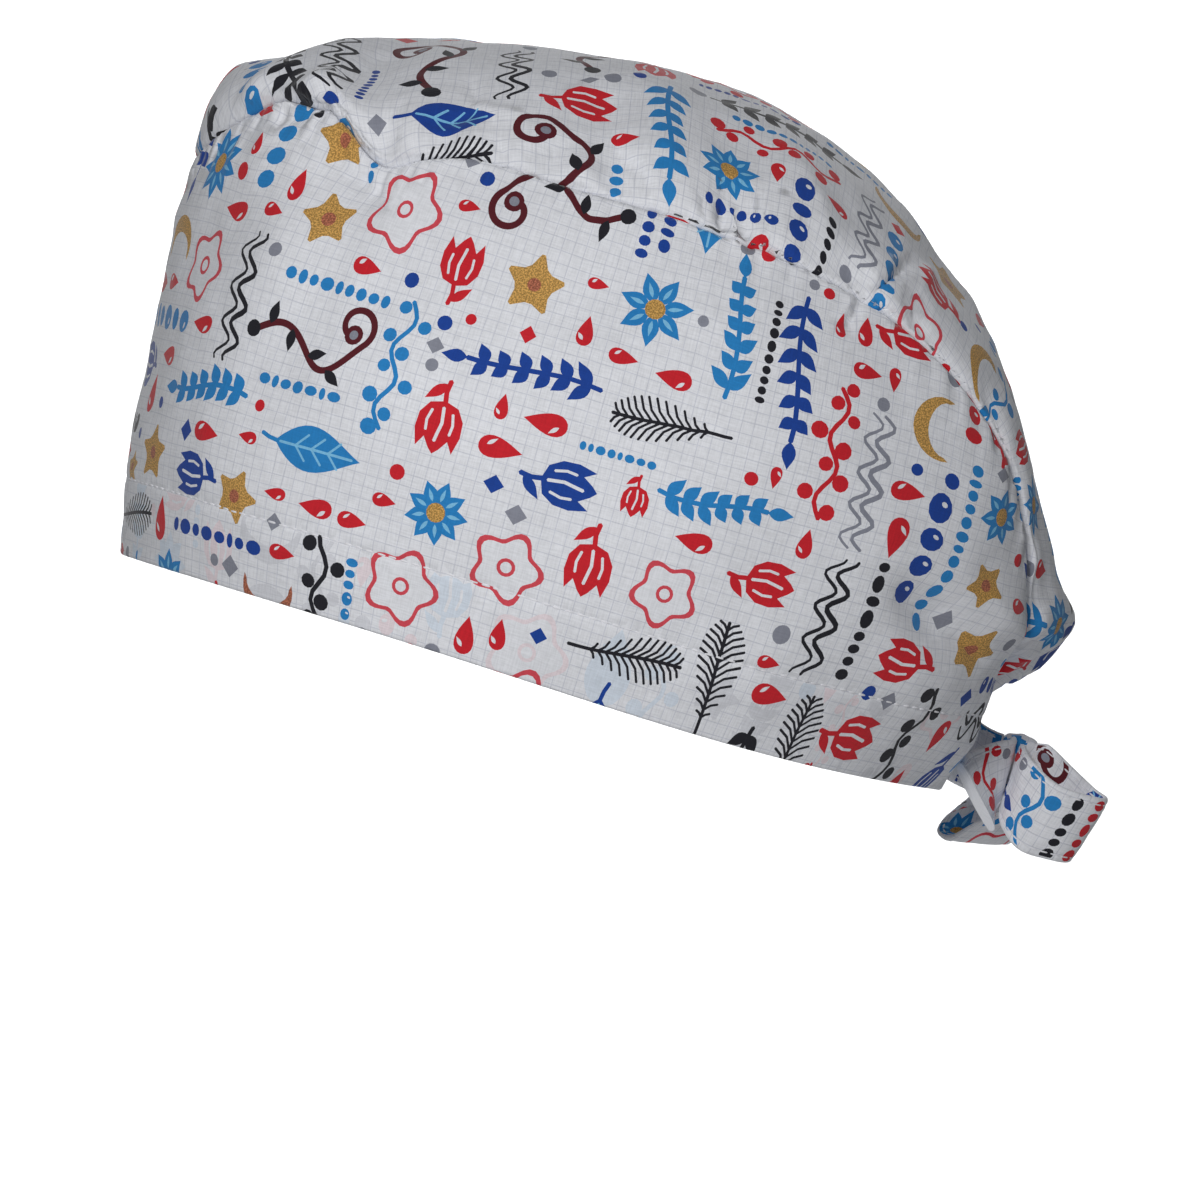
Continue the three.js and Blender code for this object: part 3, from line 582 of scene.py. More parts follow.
def top_face(b, a):
    """The print side of the top panel's cloth as middle surface, at flat coordinates b, a."""
    row, sigma = from_edge(b, a)
    m = A_END - a
    t = np.interp(np.clip(A_END - past_fold(m), 0.02, A_END), A_GRID, T_GRID)
    w = np.clip(b / np.interp(t, T_GRID, L_GRID), -1, 1)
    base = top_point(t, w)
    normal = -square_to(top_point, np.clip(t, 0.12, LAST - 0.03), np.clip(w, -0.985, 0.985), 0.03, 0.01)
    out = base - np.array([0, 0, 0.25 * CROWN_HEIGHT])
    normal = normal * np.sign((normal * out).sum(-1))[..., None]
    tip = bell(t / 0.5)[..., None]
    normal = unit(normal * (1 - tip) + seam_at(np.zeros_like(t))[1] * tip)
    inner = np.maximum(-sigma, 0)
    soft = TOP_SOFT * top_wave(b, a) + TOP_RIPPLED * top_ripple(b, a)
    soft = soft * np.minimum(inner / SEAM_REACH, 1) * np.minimum(m.clip(0) / END_CALM, 1)
    x = inner / TOP_PUCKER_AT
    puckers = TOP_PUCKER * pucker_wave(row * 9, row * 3) * x * np.exp(1 - x)
    soft = soft + puckers * np.minimum(1, np.abs(row))
    rolled = bell((row - 2.35) / 0.9) + 0.6 * bell((row + 2.6) / 0.8)
    soft = soft + TOP_ROLL * bell((inner - 0.95) / 0.6) * rolled
    crumple = POUCH_CRUMPLE * pouch_wave(b, a) * smooth(t, *POUCH_ROWS)
    soft = soft + crumple * np.minimum(m.clip(0) / POUCH_CALM, 1)
    base = base + normal * (soft - CLOTH / 2)[..., None]
    down_edge = unit(top_point(np.full_like(w, LAST), w) - top_point(np.full_like(w, LAST - 0.1), w))
    point, seam_n, seam_up, down = seam_at(row)
    body = fold_back(base, m, normal, down_edge) + seam_up * (SEAM_GAP * bell(inner / 3))[..., None]
    return turn_in(body, sigma, point + seam_up * SEAM_GAP - seam_n * (CLOTH / 2), -seam_up, down)


# The print: plain garden and sky motifs, scattered in four directions.
def srgb(r, g, b):
    def one(x):
        return x / 12.92 if x <= 0.04045 else ((x + 0.055) / 1.055) ** 2.4

    return (one(r), one(g), one(b))


INKS = {
    "black": srgb(0.13, 0.13, 0.16),
    "royal": srgb(0.10, 0.27, 0.62),
    "sky": srgb(0.16, 0.53, 0.80),
    "pale": srgb(0.52, 0.78, 0.93),
    "red": srgb(0.83, 0.13, 0.18),
    "rose": srgb(0.86, 0.30, 0.35),
    "maroon": srgb(0.36, 0.10, 0.14),
    "gold": srgb(0.80, 0.62, 0.34),
    "tan": srgb(0.70, 0.42, 0.32),
    "grey": srgb(0.56, 0.57, 0.62),
    "white": srgb(0.93, 0.935, 0.955),
    "ghost_red": srgb(0.935, 0.885, 0.905),
    "ghost_blue": srgb(0.87, 0.905, 0.95),
    "ghost_dark": srgb(0.87, 0.875, 0.90),
}
# The ink that shows faintly through the hem, where the cloth lies double.
GHOSTS = {
    "red": "ghost_red", "rose": "ghost_red", "maroon": "ghost_red", "royal": "ghost_blue",
    "sky": "ghost_blue", "pale": "ghost_blue", "black": "ghost_dark", "grey": "ghost_dark",
    "gold": "ghost_dark", "tan": "ghost_dark", "white": "white",
}
WHITE = INKS["white"]
INK_NAMES = list(INKS)
INK_TABLE = np.array([*INKS.values(), WHITE])  # bare cloth has ink -1, which reads the last row


def turned(p, turn):
    c, s = math.cos(turn), math.sin(turn)
    return p @ np.array([[c, s], [-s, c]])


def disc(x, y, rx, ry=None, n=18, turn=0.0):
    ry = rx if ry is None else ry
    a = np.linspace(0, 2 * np.pi, n, endpoint=False)
    return turned(xy(rx * np.cos(a), ry * np.sin(a)), turn) + (x, y)


def stroke(path, width, taper=0.0):
    """A closed outline round a line, with its ends rounded off."""
    path = np.asarray(path, float)
    d = unit(np.gradient(path, axis=0))
    n = np.stack([-d[:, 1], d[:, 0]], -1)
    f = np.linspace(0, 1, len(path))
    w = (width / 2 * (1 - taper * np.abs(2 * f - 1) ** 2))[:, None]
    head = path[-1] + d[-1] * w[-1] * 0.7
    tail = path[0] - d[0] * w[0] * 0.7
    return np.vstack([path + n * w, head, (path - n * w)[::-1], tail])


def leaf(x, y, length, width, turn, n=8):
    f = np.linspace(0, 1, n)
    h = width / 2 * np.sin(np.pi * f**0.8) ** 1.15
    p = np.vstack([xy(f * length, h), xy(f * length, -h)[-2:0:-1]])
    return turned(p, turn) + (x, y)


def sprig(rng, ink):
    """A long stem with paired leaves."""
    length = rng.uniform(24, 34)
    x = np.linspace(-length / 2, length / 2 - 4, 14)
    bend = rng.uniform(0.6, 1.6)
    y = bend * np.sin(2.6 * x / length * 2)
    made = [(stroke(xy(x, y), 0.95), ink)]
    for i in range(1, 13, 2):
        size = rng.uniform(4.2, 5.6) * (1 - 0.25 * i / 13)
        for way in (1, -1):
            made.append((leaf(x[i], y[i], size, 2.5, way * rng.uniform(0.75, 1.0)), ink))
    made.append((leaf(x[-1], y[-1], 5.2, 2.6, 0.1), ink))
    return made, length, 8.4


def berries(rng, ink):
    """A wavy stem with round berries on it."""
    length = rng.uniform(24, 33)
    x = np.linspace(-length / 2, length / 2, 18)
    y = 1.3 * np.sin(x * 0.55)
    made = [(stroke(xy(x, y), 0.85), ink)]
    for k, i in enumerate(range(1, 18, 2)):
        way = 1 if k % 2 else -1
        made.append((disc(x[i], y[i] + way * 2.1, rng.uniform(1.2, 1.65), n=11), ink))
    return made, length + 1, 7


def beads(rng, ink):
    """A row of pebbles of different lengths."""
    made, x = [], 0.0
    tall = rng.choice([3.0, 4.4, 5.4])
    total = rng.uniform(22, 36)
    while x < total - 2:
        wide = tall * rng.uniform(0.5, 1.15)
        rise = rng.uniform(0.72, 1.0)
        shape = disc(x + wide / 2, 0, wide / 2, tall / 2 * rise, n=12)
        made.append((shape, ink))
        if wide > tall * 0.75 and tall > 4:
            made.append((disc(x + wide * 0.36, tall * 0.13, wide * 0.09, tall * 0.13, n=8, turn=-0.3), "white"))
        x += wide + tall * 0.2
    made = [(p - (x / 2, 0), c) for p, c in made]
    return made, x, tall


def ribbon(rng, ink):
    """Two smooth waves, one below the other."""
    length = rng.uniform(20, 28)
    x = np.linspace(-length / 2, length / 2, 32)
    y = 1.7 * np.sin(x * 0.95)
    made = [
        (stroke(xy(x, y + 1.3), 1.1, 0.4), ink),
        (stroke(xy(x, y - 1.3), 0.8, 0.4), ink),
    ]
    return made, length, 7


def daisy(rng, ink, middle="gold"):
    size = rng.uniform(5.6, 7.2)
    made = []
    count = rng.choice([7, 8, 9])
    for k in range(count):
        a = 2 * math.pi * k / count
        made.append((leaf(1.1 * math.cos(a), 1.1 * math.sin(a), size - 1.1, 3.1, a), ink))
    for k in range(count):
        a = 2 * math.pi * k / count
        c = (2.2 * math.cos(a), 2.2 * math.sin(a))
        made.append((leaf(c[0], c[1], size * 0.42, 0.8, a, 6), "pale" if ink == "sky" else "white"))
    made.append((disc(0, 0, 1.9, n=14), middle))
    return made, 2 * size, 2 * size


def big_leaf(rng, ink):
    """A broad leaf with pale veins."""
    length = rng.uniform(15, 18)
    made = [(leaf(-length / 2, 0, length, 8.6, 0.0, 14), ink)]
    vein = "pale" if ink in ("sky", "royal") else "white"
    x = np.linspace(-length / 2 + 1, length / 2 - 1.6, 10)
    made.append((stroke(xy(x, 0 * x), 0.5), vein))
    for i in (2, 4, 6):
        for way in (1, -1):
            tip = np.array([x[i] + 2.3, way * 2.5])
            line = np.linspace(np.array([x[i], 0]), tip, 4)
            made.append((stroke(line, 0.42), vein))
    stalk = np.array([[-length / 2 - 3, 0.8], [-length / 2 - 1.4, 0.25], [-length / 2 + 0.4, 0]])
    made.append((stroke(stalk, 0.8), ink))
    return made, length + 4, 8.8


def tulip(rng, ink):
    made = []
    cup = np.array([
        [0, -4.6], [2.6, -3.8], [4.0, -1.6], [4.2, 1.2], [3.4, 4.4], [2.2, 2.4], [1.0, 4.2], [0, 5.2],
        [-1.0, 4.2], [-2.2, 2.4], [-3.4, 4.4], [-4.2, 1.2], [-4.0, -1.6], [-2.6, -3.8],
    ])
    made.append((cup, ink))
    made.append((stroke([[0, -3.4], [-0.4, -0.6], [0, 1.6], [0.2, 2.8]], 0.6), "white"))
    made.append((stroke([[1.9, -2.6], [2.4, -0.6], [2.2, 1.2]], 0.5), "white"))
    made.append((stroke([[-1.9, -2.6], [-2.4, -0.6], [-2.2, 1.2]], 0.5), "white"))
    made.append((stroke([[0, -4.4], [0.3, -6.2], [0, -8.2]], 0.9), ink))
    made.append((leaf(0.2, -7.6, 5, 1.9, 0.75), ink))
    return made, 9.4, 14.4


def star(rng, ink):
    size = rng.uniform(5.4, 6.4)
    a = np.pi / 2 + np.arange(10) * np.pi / 5
    r = np.where(np.arange(10) % 2 == 0, size, size * 0.52)
    core = xy(r * np.cos(a), r * np.sin(a))
    soft = []
    for k in range(10):
        before, here, after = core[k - 1], core[k], core[(k + 1) % 10]
        soft += [here + (before - here) * 0.18, here + (after - here) * 0.18]
    made = [(np.array(soft), ink)]
    made.append((disc(0, 0, 1.3, n=12), "tan"))
    return made, 2 * size, 2 * size


def crescent(rng, ink):
    a = np.linspace(-1.9, 1.9, 16)
    outer = xy(6.4 * np.cos(a), 6.4 * np.sin(a))
    b = np.linspace(1.9, -1.9, 14)[1:-1]
    inner = xy(6.4 * np.cos(b) * 0.62 - 0.85, 6.4 * np.sin(b) * 0.86)
    return [(np.vstack([outer, inner]) - (2.4, 0), ink)], 9, 13


def ring_flower(rng, ink):
    """A flower in outline."""
    a = np.linspace(0, 2 * np.pi, 45, endpoint=False)
    size = rng.uniform(5.2, 7)
    r = size * (1 + 0.16 * np.cos(5 * a))
    outer = xy(r * np.cos(a), r * np.sin(a))
    made = [(outer, ink), (outer * (1 - 0.95 / size), "white")]
    made.append((disc(0, 0, 1.7, n=14), ink))
    made.append((disc(0, 0, 1.05, n=12), "white"))
    return made, 2.3 * size, 2.3 * size


def drop(rng, ink):
    size = rng.uniform(0.75, 1.05)
    a = np.linspace(0, 2 * np.pi, 22, endpoint=False)
    x = 3.3 * np.sin(a) * np.sin(a / 2) ** 1.3
    y = 4.6 * np.cos(a)
    made = [(xy(x, y) * size, ink)]
    made.append((leaf(-0.2, -2.9 * size, 2.6 * size, 0.9, 2.3), "white"))
    return made, 6.8 * size, 9.4 * size


def vine(rng, ink="maroon"):
    """A long curling tendril with a bud at each end."""
    f = np.linspace(0, 1, 40)
    x = -13 + 26 * f
    y = 5.2 * np.sin(2 * np.pi * f * 1.1) * (0.4 + 0.6 * f)
    a = np.linspace(0, 1.75 * np.pi, 26)
    r = 4.4 * (1 - 0.11 * a)
    start = np.array([x[-1], y[-1]])
    heading = math.atan2(y[-1] - y[-2], x[-1] - x[-2])
    curl = xy(r * np.cos(a - np.pi / 2 + heading), r * np.sin(a - np.pi / 2 + heading))
    curl = curl - curl[0] + start
    line = np.vstack([xy(x, y), curl[1:]])
    made = [(stroke(line, 1.35), ink)]
    end = curl[-1]
    made.append((disc(end[0], end[1], 2.0, n=14), ink))
    made.append((disc(end[0], end[1], 0.95, n=12), "grey"))
    for i, way in ((5, 1), (13, -1), (21, 1), (29, -1)):
        turn = way * 1.0 + math.atan2(y[i + 1] - y[i], x[i + 1] - x[i])
        made.append((leaf(x[i], y[i], 4.6, 2.2, turn), "black"))
    made.append((disc(-13.4, y[0], 1.7, n=12), "black"))
    lo = np.min([p.min(0) for p, _ in made], axis=0)
    hi = np.max([p.max(0) for p, _ in made], axis=0)
    mid = (lo + hi) / 2
    made = [(p - mid, c) for p, c in made]
    return made, hi[0] - lo[0], hi[1] - lo[1]


def feather(rng, ink="black"):
    """A fine line drawing of a feather."""
    length = 22
    x = np.linspace(-length / 2, length / 2, 16)
    y = 0.9 * np.sin(x / length * 3)
    made = [(stroke(xy(x, y), 0.65), ink)]
    for i in range(3, 15):
        reach = 3.6 * math.sin(math.pi * (i - 2) / 13.5) + 0.6
        for way in (1, -1):
            tip = np.array([x[i] + reach * 0.75, y[i] + way * reach])
            mid = np.array([x[i] + reach * 0.5, y[i] + way * reach * 0.45])
            made.append((stroke([[x[i], y[i]], mid, tip], 0.48), ink))
    return made, length + 2, 8.6


def dot(rng, ink):
    size = rng.uniform(1.3, 2.2)
    if rng.random() < 0.5:
        square = size * np.array([[1.4, 0], [0, 1.5], [-1.4, 0], [0, -1.5]])
        return [(square, ink)], 2.8 * size, 3 * size
    return [(disc(0, 0, size, n=14), ink)], 2 * size, 2 * size


LARGE = [
    (vine, "maroon"), (sprig, "royal"), (daisy, "sky"), (beads, "black"), (tulip, "red"), (sprig, "sky"),
    (beads, "sky"), (big_leaf, "sky"), (feather, "black"), (star, "gold"), (sprig, "royal"), (tulip, "red"),
    (berries, "black"), (ring_flower, "rose"), (sprig, "black"), (beads, "royal"), (daisy, "sky"),
    (ribbon, "black"), (vine, "maroon"), (star, "gold"), (berries, "red"), (vine, "maroon"),
    (sprig, "sky"), (big_leaf, "royal"),
    (crescent, "gold"), (beads, "black"), (ring_flower, "rose"), (sprig, "black"), (tulip, "royal"),
    (berries, "sky"), (ribbon, "grey"), (beads, "red"),
]
MIDDLE = [
    (drop, "red"), (star, "gold"), (beads, "black"), (ring_flower, "rose"), (berries, "red"),
    (drop, "red"), (daisy, "sky"), (beads, "sky"), (crescent, "tan"), (tulip, "red"), (beads, "royal"),
]
SMALL = [
    (dot, "grey"), (drop, "red"), (dot, "royal"), (dot, "red"), (drop, "sky"), (dot, "grey"),
]


PLACES_TRIED = 70  # for each motif, before it's left out


def scatter(seed, lo, hi, kinds, gap=0.9):
    """Motifs in their own seeded layout over a box: a list of (outline, ink), later ones on top."""
    rng = random.Random(seed)
    boxes, shapes = np.zeros((0, 4)), []
    area = (hi[0] - lo[0]) * (hi[1] - lo[1])
    for group, tries, scale in kinds:
        k = rng.randrange(len(group))
        for _ in range(int(tries * area)):
            make, ink = group[k % len(group)]
            made, wide, tall = make(rng, ink)
            size = scale * rng.uniform(0.94, 1.06)
            wide, tall = wide * size, tall * size
            turn = rng.choice([0, 0, 1, 2, 3, 3])
            wx, wy = (wide, tall) if turn % 2 == 0 else (tall, wide)
            for _ in range(PLACES_TRIED):
                x, y = rng.uniform(lo[0], hi[0]), rng.uniform(lo[1], hi[1])
                box = (x - wx / 2 - gap, y - wy / 2 - gap, x + wx / 2 + gap, y + wy / 2 + gap)
                if len(boxes) and (
                    (boxes[:, 0] < box[2]) & (boxes[:, 2] > box[0])
                    & (boxes[:, 1] < box[3]) & (boxes[:, 3] > box[1])
                ).any():
                    continue
                boxes = np.vstack([boxes, (x - wx / 2, y - wy / 2, x + wx / 2, y + wy / 2)])
                a = turn * math.pi / 2
                c, s = round(math.cos(a)), round(math.sin(a))
                for p, colour in made:
                    shapes.append((np.asarray(p) * size @ np.array([[c, s], [-s, c]]) + (x, y), colour))
                break
            k += 1
    return shapes


def winding(points, outline):
    """How often an outline goes round each point."""
    x, y = points[:, 0][:, None], points[:, 1][:, None]
    x0, y0 = outline[:, 0][None], outline[:, 1][None]
    x1, y1 = np.roll(outline[:, 0], -1)[None], np.roll(outline[:, 1], -1)[None]
    side = (x1 - x0) * (y - y0) - (x - x0) * (y1 - y0)
    up = (y0 <= y) & (y1 > y) & (side > 0)
    down = (y0 > y) & (y1 <= y) & (side < 0)
    return up.sum(1) - down.sum(1)


def within(points, outline):
    """Which points lie inside an outline."""
    lo, hi = outline.min(0), outline.max(0)
    near = np.nonzero(((points >= lo) & (points <= hi)).all(1))[0]
    found = np.zeros(len(points), bool)
    for k in np.array_split(near, max(1, len(near) * len(outline) // 4_000_000)):
        found[k] = winding(points[k], outline) != 0
    return found


def cut_out(outline, grid, shapes, folds=()):
    """Flat cloth as triangles: its points, its triangles, and the ink of each, or -1.

    Edges of the triangles follow the lines in folds, and the print is split where it crosses them.
    """
    lo, hi = outline.min(0), outline.max(0)
    shapes = [(p, ink) for p, ink in shapes if (p.max(0) >= lo).all() and (p.min(0) <= hi).all()]
    closed = [outline, *(p for p, _ in shapes)]
    edges, n = [], 0
    for i, line in enumerate([*closed, *folds]):
        end = n + len(line)
        edges += [(j, j + 1) for j in range(n, end - 1)]
        if i < len(closed):
            edges.append((end - 1, n))
        n = end
    flat = np.vstack([*closed, *folds, grid])
    result = delaunay_2d_cdt([Vector(p) for p in flat.tolist()], edges, [], 0, 1e-4, False)
    made = np.array([tuple(v) for v in result[0]])
    triangles = np.array([f for f in result[2] if len(f) == 3])
    a, b, c = made[triangles[:, 0]], made[triangles[:, 1]], made[triangles[:, 2]]
    turn = (b[:, 0] - a[:, 0]) * (c[:, 1] - a[:, 1]) - (b[:, 1] - a[:, 1]) * (c[:, 0] - a[:, 0])
    triangles[turn < 0] = triangles[turn < 0][:, ::-1]
    middle = (a + b + c) / 3
    inside = within(middle, outline)
    triangles, middle = triangles[inside], middle[inside]
    ink = np.full(len(triangles), -1)
    for shape, name in shapes:
        ink[within(middle, shape)] = INK_NAMES.index(name)
    used = np.unique(triangles)
    back = np.full(len(made), -1)
    back[used] = np.arange(len(used))
    return made[used], back[triangles], ink


def net(lo, hi, step, rows=()):
    """Points of a slightly skewed grid over a box, with some extra rows."""
    xs = np.arange(lo[0], hi[0] + step, step)
    ys = np.arange(lo[1], hi[1] + step, step)
    x, y = np.meshgrid(xs, ys)
    x = x + (np.arange(len(ys)) % 2)[:, None] * step / 2
    made = [xy(x.ravel(), y.ravel())]
    for row in rows:
        made.append(xy(xs, row))
    return np.vstack(made)


def finer(place, lo, hi, step=1.3):
    """Extra points of the flat cloth where creases bend it sharply. place(x, y) gives 3-D points."""
    x, y = np.meshgrid(np.arange(lo[0], hi[0], step), np.arange(lo[1], hi[1], step))
    p = place(x, y)
    v, w = side_view(p)
    h = np.where(p[..., 0] > 0, crease_height(v, w, LEFT_CREASES), crease_height(v, w, RIGHT_CREASES))
    bend = np.zeros(h.shape)
    bend[1:-1, 1:-1] = np.abs(h[:-2, 1:-1] + h[2:, 1:-1] + h[1:-1, :-2] + h[1:-1, 2:] - 4 * h[1:-1, 1:-1])
    keep = (bend > 0.16) & (np.abs(p[..., 0]) > 5)
    return xy(x[keep], y[keep])


def put(name, points, faces, slots, materials, normals=None, colours=None, flat=None):
    """A mesh object from arrays. normals and flat are given for each corner, the rest for each face."""
    me = bpy.data.meshes.new(name)
    me.from_pydata((np.asarray(points) / 1000).tolist(), [], [list(map(int, f)) for f in faces])
    me.polygons.foreach_set("use_smooth", np.full(len(me.polygons), True))
    me.polygons.foreach_set("material_index", np.asarray(slots, np.int32))
    sizes = np.array([len(f) for f in faces])
    if colours is not None:
        layer = me.color_attributes.new("print", "FLOAT_COLOR", "CORNER")
        rgba = np.repeat(np.column_stack([colours, np.ones(len(colours))]), sizes, axis=0)
        layer.data.foreach_set("color", rgba.astype(np.float32).ravel())
    if flat is not None:
        uv = me.uv_layers.new(name="Flat")
        uv.data.foreach_set("uv", np.asarray(flat, np.float32).ravel())
    for material in materials:
        me.materials.append(material)
    if normals is not None:
        me.normals_split_custom_set(np.asarray(normals).tolist())
    me.update()
    ob = bpy.data.objects.new(name, me)
    bpy.context.scene.collection.objects.link(ob)
    return ob


def on_body(ob, node=None):
    """Every piece is of the one cloth and moves with the one body."""
    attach(ob, "root")
    if node:
        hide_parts(node)
    return ob


def ink_slots(ink):
    """The material for each triangle: bare cloth, ink, or the two glittering inks."""
    gold = INK_NAMES.index("gold")
    return np.where(ink < 0, 0, np.where((ink == gold) | (ink == gold + 1), 2, 1))


def cloth_piece(name, node, outline, grid, shapes, face, folds):
    """Cloth with a print side and a reverse side, from its flat cut and face(x, y)."""
    flat, triangles, ink = cut_out(outline, grid, shapes, folds)
    x, y = flat[:, 0], flat[:, 1]
    middle = face(x, y)
    normal = square_to(face, x, y, 0.08, 0.08)
    n = len(flat)
    points = np.vstack([middle + normal * CLOTH / 2, middle - normal * CLOTH / 2])
    pairs = np.vstack([triangles[:, [0, 1]], triangles[:, [1, 2]], triangles[:, [2, 0]]])
    _, first, count = np.unique(np.sort(pairs, axis=1), axis=0, return_index=True, return_counts=True)
    rim = pairs[first[count == 1]]
    walls = np.stack([rim[:, 1], rim[:, 0], rim[:, 0] + n, rim[:, 1] + n], -1)
    faces = [*triangles.tolist(), *(triangles[:, ::-1] + n).tolist(), *walls.tolist()]
    p = points[walls]
    wall_n = unit(np.cross(p[:, 2] - p[:, 0], p[:, 3] - p[:, 1]))
    normals = np.vstack([
        normal[triangles].reshape(-1, 3),
        -normal[triangles[:, ::-1]].reshape(-1, 3),
        np.repeat(wall_n, 4, axis=0),
    ])
    front = INK_TABLE[ink]
    reverse = 0.62 * np.array(WHITE) + 0.38 * front  # the ink shows through
    colours = np.vstack([front, reverse, np.tile(WHITE, (len(walls), 1))])
    slots = np.concatenate([ink_slots(ink), np.full(len(triangles) + len(walls), 3)])
    corners = [triangles.ravel(), triangles[:, ::-1].ravel(), (walls % n).ravel()]
    uv = flat[np.concatenate(corners)]
    return on_body(put(name, points, faces, slots, CLOTH_SLOTS, normals, colours, uv), node)


def stitches(name, runs, width, tall):
    """Short raised stitches. runs is a list of (starts, ends, normals)."""
    points, faces = [], []
    sides = 6
    rings = ((0, 0.25), (0.14, 0.85), (0.5, 1), (0.86, 0.85), (1, 0.25))  # share of the length, size
    last = (len(rings) - 1) * sides
    for starts, ends, ups in runs:
        for a, b, up in zip(starts, ends, ups):
            across = np.cross(unit(b - a), up)
            base = len(points)
            for f, size in rings:
                for k in range(sides):
                    t = 2 * math.pi * k / sides
                    d = across * math.cos(t) * width / 2 * size + up * math.sin(t) * tall / 2 * size
                    points.append(a + (b - a) * f + d)
            for ring in range(base, base + last, sides):
                for k in range(sides):
                    p, q = ring + k, ring + (k + 1) % sides
                    faces.append([p, q, q + sides, p + sides])
            faces.append([base + k for k in range(sides)][::-1])
            faces.append([base + last + k for k in range(sides)])
    return on_body(put(name, points, faces, np.zeros(len(faces)), [THREAD]))


def add(tree, kind, inputs=None, **settings):
    """A shader node. inputs gives each socket a value, or the output of another node."""
    node = tree.nodes.new("ShaderNode" + kind)
    for key, value in settings.items():
        setattr(node, key, value)
    for key, value in (inputs or {}).items():
        if isinstance(value, bpy.types.NodeSocket):
            tree.links.new(value, node.inputs[key])
        else:
            node.inputs[key].default_value = value
    return node


def maths(tree, operation, a, b=0.5):
    return add(tree, "Math", {0: a, 1: b}, operation=operation).outputs[0]


def remap(tree, value, lo, hi, to_lo, to_hi, **settings):
    ends = {"From Min": lo, "From Max": hi, "To Min": to_lo, "To Max": to_hi}
    return add(tree, "MapRange", {"Value": value} | ends, **settings).outputs["Result"]


def new_material(name, **values):
    mat = bpy.data.materials.new(name)
    mat.use_nodes = True
    shader = mat.node_tree.nodes["Principled BSDF"]
    for key, value in values.items():
        shader.inputs[key.replace("_", " ")].default_value = value
    return mat, mat.node_tree, shader


def cotton(name, grid=0.0, speckle=False):
    """Plain-weave cotton that takes its ink from the mesh's print layer."""
    mat, tree, shader = new_material(
        name, Roughness=0.86, Specular_IOR_Level=0.28, Sheen_Weight=0.22, Sheen_Roughness=0.45
    )
    uv = add(tree, "UVMap", uv_map="Flat").outputs["UV"]
    colour = add(tree, "VertexColor", layer_name="print").outputs["Color"]

    def threads(across, along, place):
        at = {"Vector": uv, "Location": (place, place, 0), "Scale": (across, along, 1)}
        vector = add(tree, "Mapping", at).outputs["Vector"]
        settings = {"Vector": vector, "Scale": 1, "Detail": 2}
        return add(tree, "TexNoise", settings, noise_dimensions="2D").outputs["Fac"]

    weave = maths(tree, "ADD", threads(2.4, 0.22, 3.1), threads(0.22, 2.4, 17.7))
    shade = remap(tree, weave, 0.7, 1.3, 0.9, 1.05)
    patches = remap(tree, threads(0.035, 0.035, 9.3), 0.3, 0.7, 0.965, 1.02)
    light = maths(tree, "MULTIPLY", shade, patches)
    if grid:
        split = add(tree, "SeparateXYZ", {0: uv})
        lines = []
        for axis in (0, 1):
            part = maths(tree, "FRACT", maths(tree, "MULTIPLY", split.outputs[axis], 1 / CHECK))
            off = maths(tree, "ABSOLUTE", maths(tree, "SUBTRACT", part, 0.5))
            lines.append(remap(tree, off, 0.015, 0.06, 1, 0, interpolation_type="SMOOTHSTEP"))
        faint = maths(tree, "MULTIPLY", maths(tree, "MAXIMUM", *lines), grid)
        tones = {"Factor": faint, 6: colour, 7: (*srgb(0.64, 0.66, 0.74), 1)}
        colour = add(tree, "Mix", tones, data_type="RGBA").outputs[2]
    if speckle:
        flakes = remap(tree, threads(2.6, 2.6, 41.0), 0.42, 0.62, 0.62, 1.35)
        light = maths(tree, "MULTIPLY", light, flakes)
    tint = add(tree, "VectorMath", {0: colour, "Scale": light}, operation="SCALE")
    tree.links.new(tint.outputs[0], shader.inputs["Base Color"])
    bump = add(tree, "Bump", {"Strength": 0.35, "Distance": 0.00018, "Height": weave})
    tree.links.new(bump.outputs["Normal"], shader.inputs["Normal"])
    return mat


def thread_material():
    mat, tree, shader = new_material("stitch_thread", Roughness=0.6, Sheen_Weight=0.2)
    where = add(tree, "TexCoord").outputs["Object"]
    noise = add(tree, "TexNoise", {"Scale": 900, "Vector": where}).outputs["Fac"]
    tones = {6: (*srgb(0.90, 0.90, 0.93), 1), 7: (*srgb(0.98, 0.98, 0.99), 1), "Factor": noise}
    ramp = add(tree, "Mix", tones, data_type="RGBA")
    tree.links.new(ramp.outputs[2], shader.inputs["Base Color"])
    return mat


CHECK = 2.9  # size of the faint squares woven into the cloth
CLOTH_SLOTS = [
    cotton("cotton_white", grid=0.36),
    cotton("cotton_ink"),
    cotton("cotton_glitter_ink", speckle=True),
    cotton("cotton_reverse"),
]
THREAD = thread_material()

# Groups of motifs, how many are tried for each square millimetre, and their size.
KINDS = [(LARGE, 0.006, 1.27), (MIDDLE, 0.006, 1.1), (MIDDLE, 0.005, 0.8), (SMALL, 0.005, 1.05)]

FOLD_ROWS = (-1.0, -0.7, -0.35, 0.0, 0.35, 0.7, 1.0)  # where the cloth bends round a folded edge
FOLD_CLEAR = 1.3  # the net's own points keep this far from the fold's line
STITCH_ROWS = [17.8, 18.4, 19, 19.6, 20.2, -18.4, -19, -19.6]  # where it dips along the hem's stitches


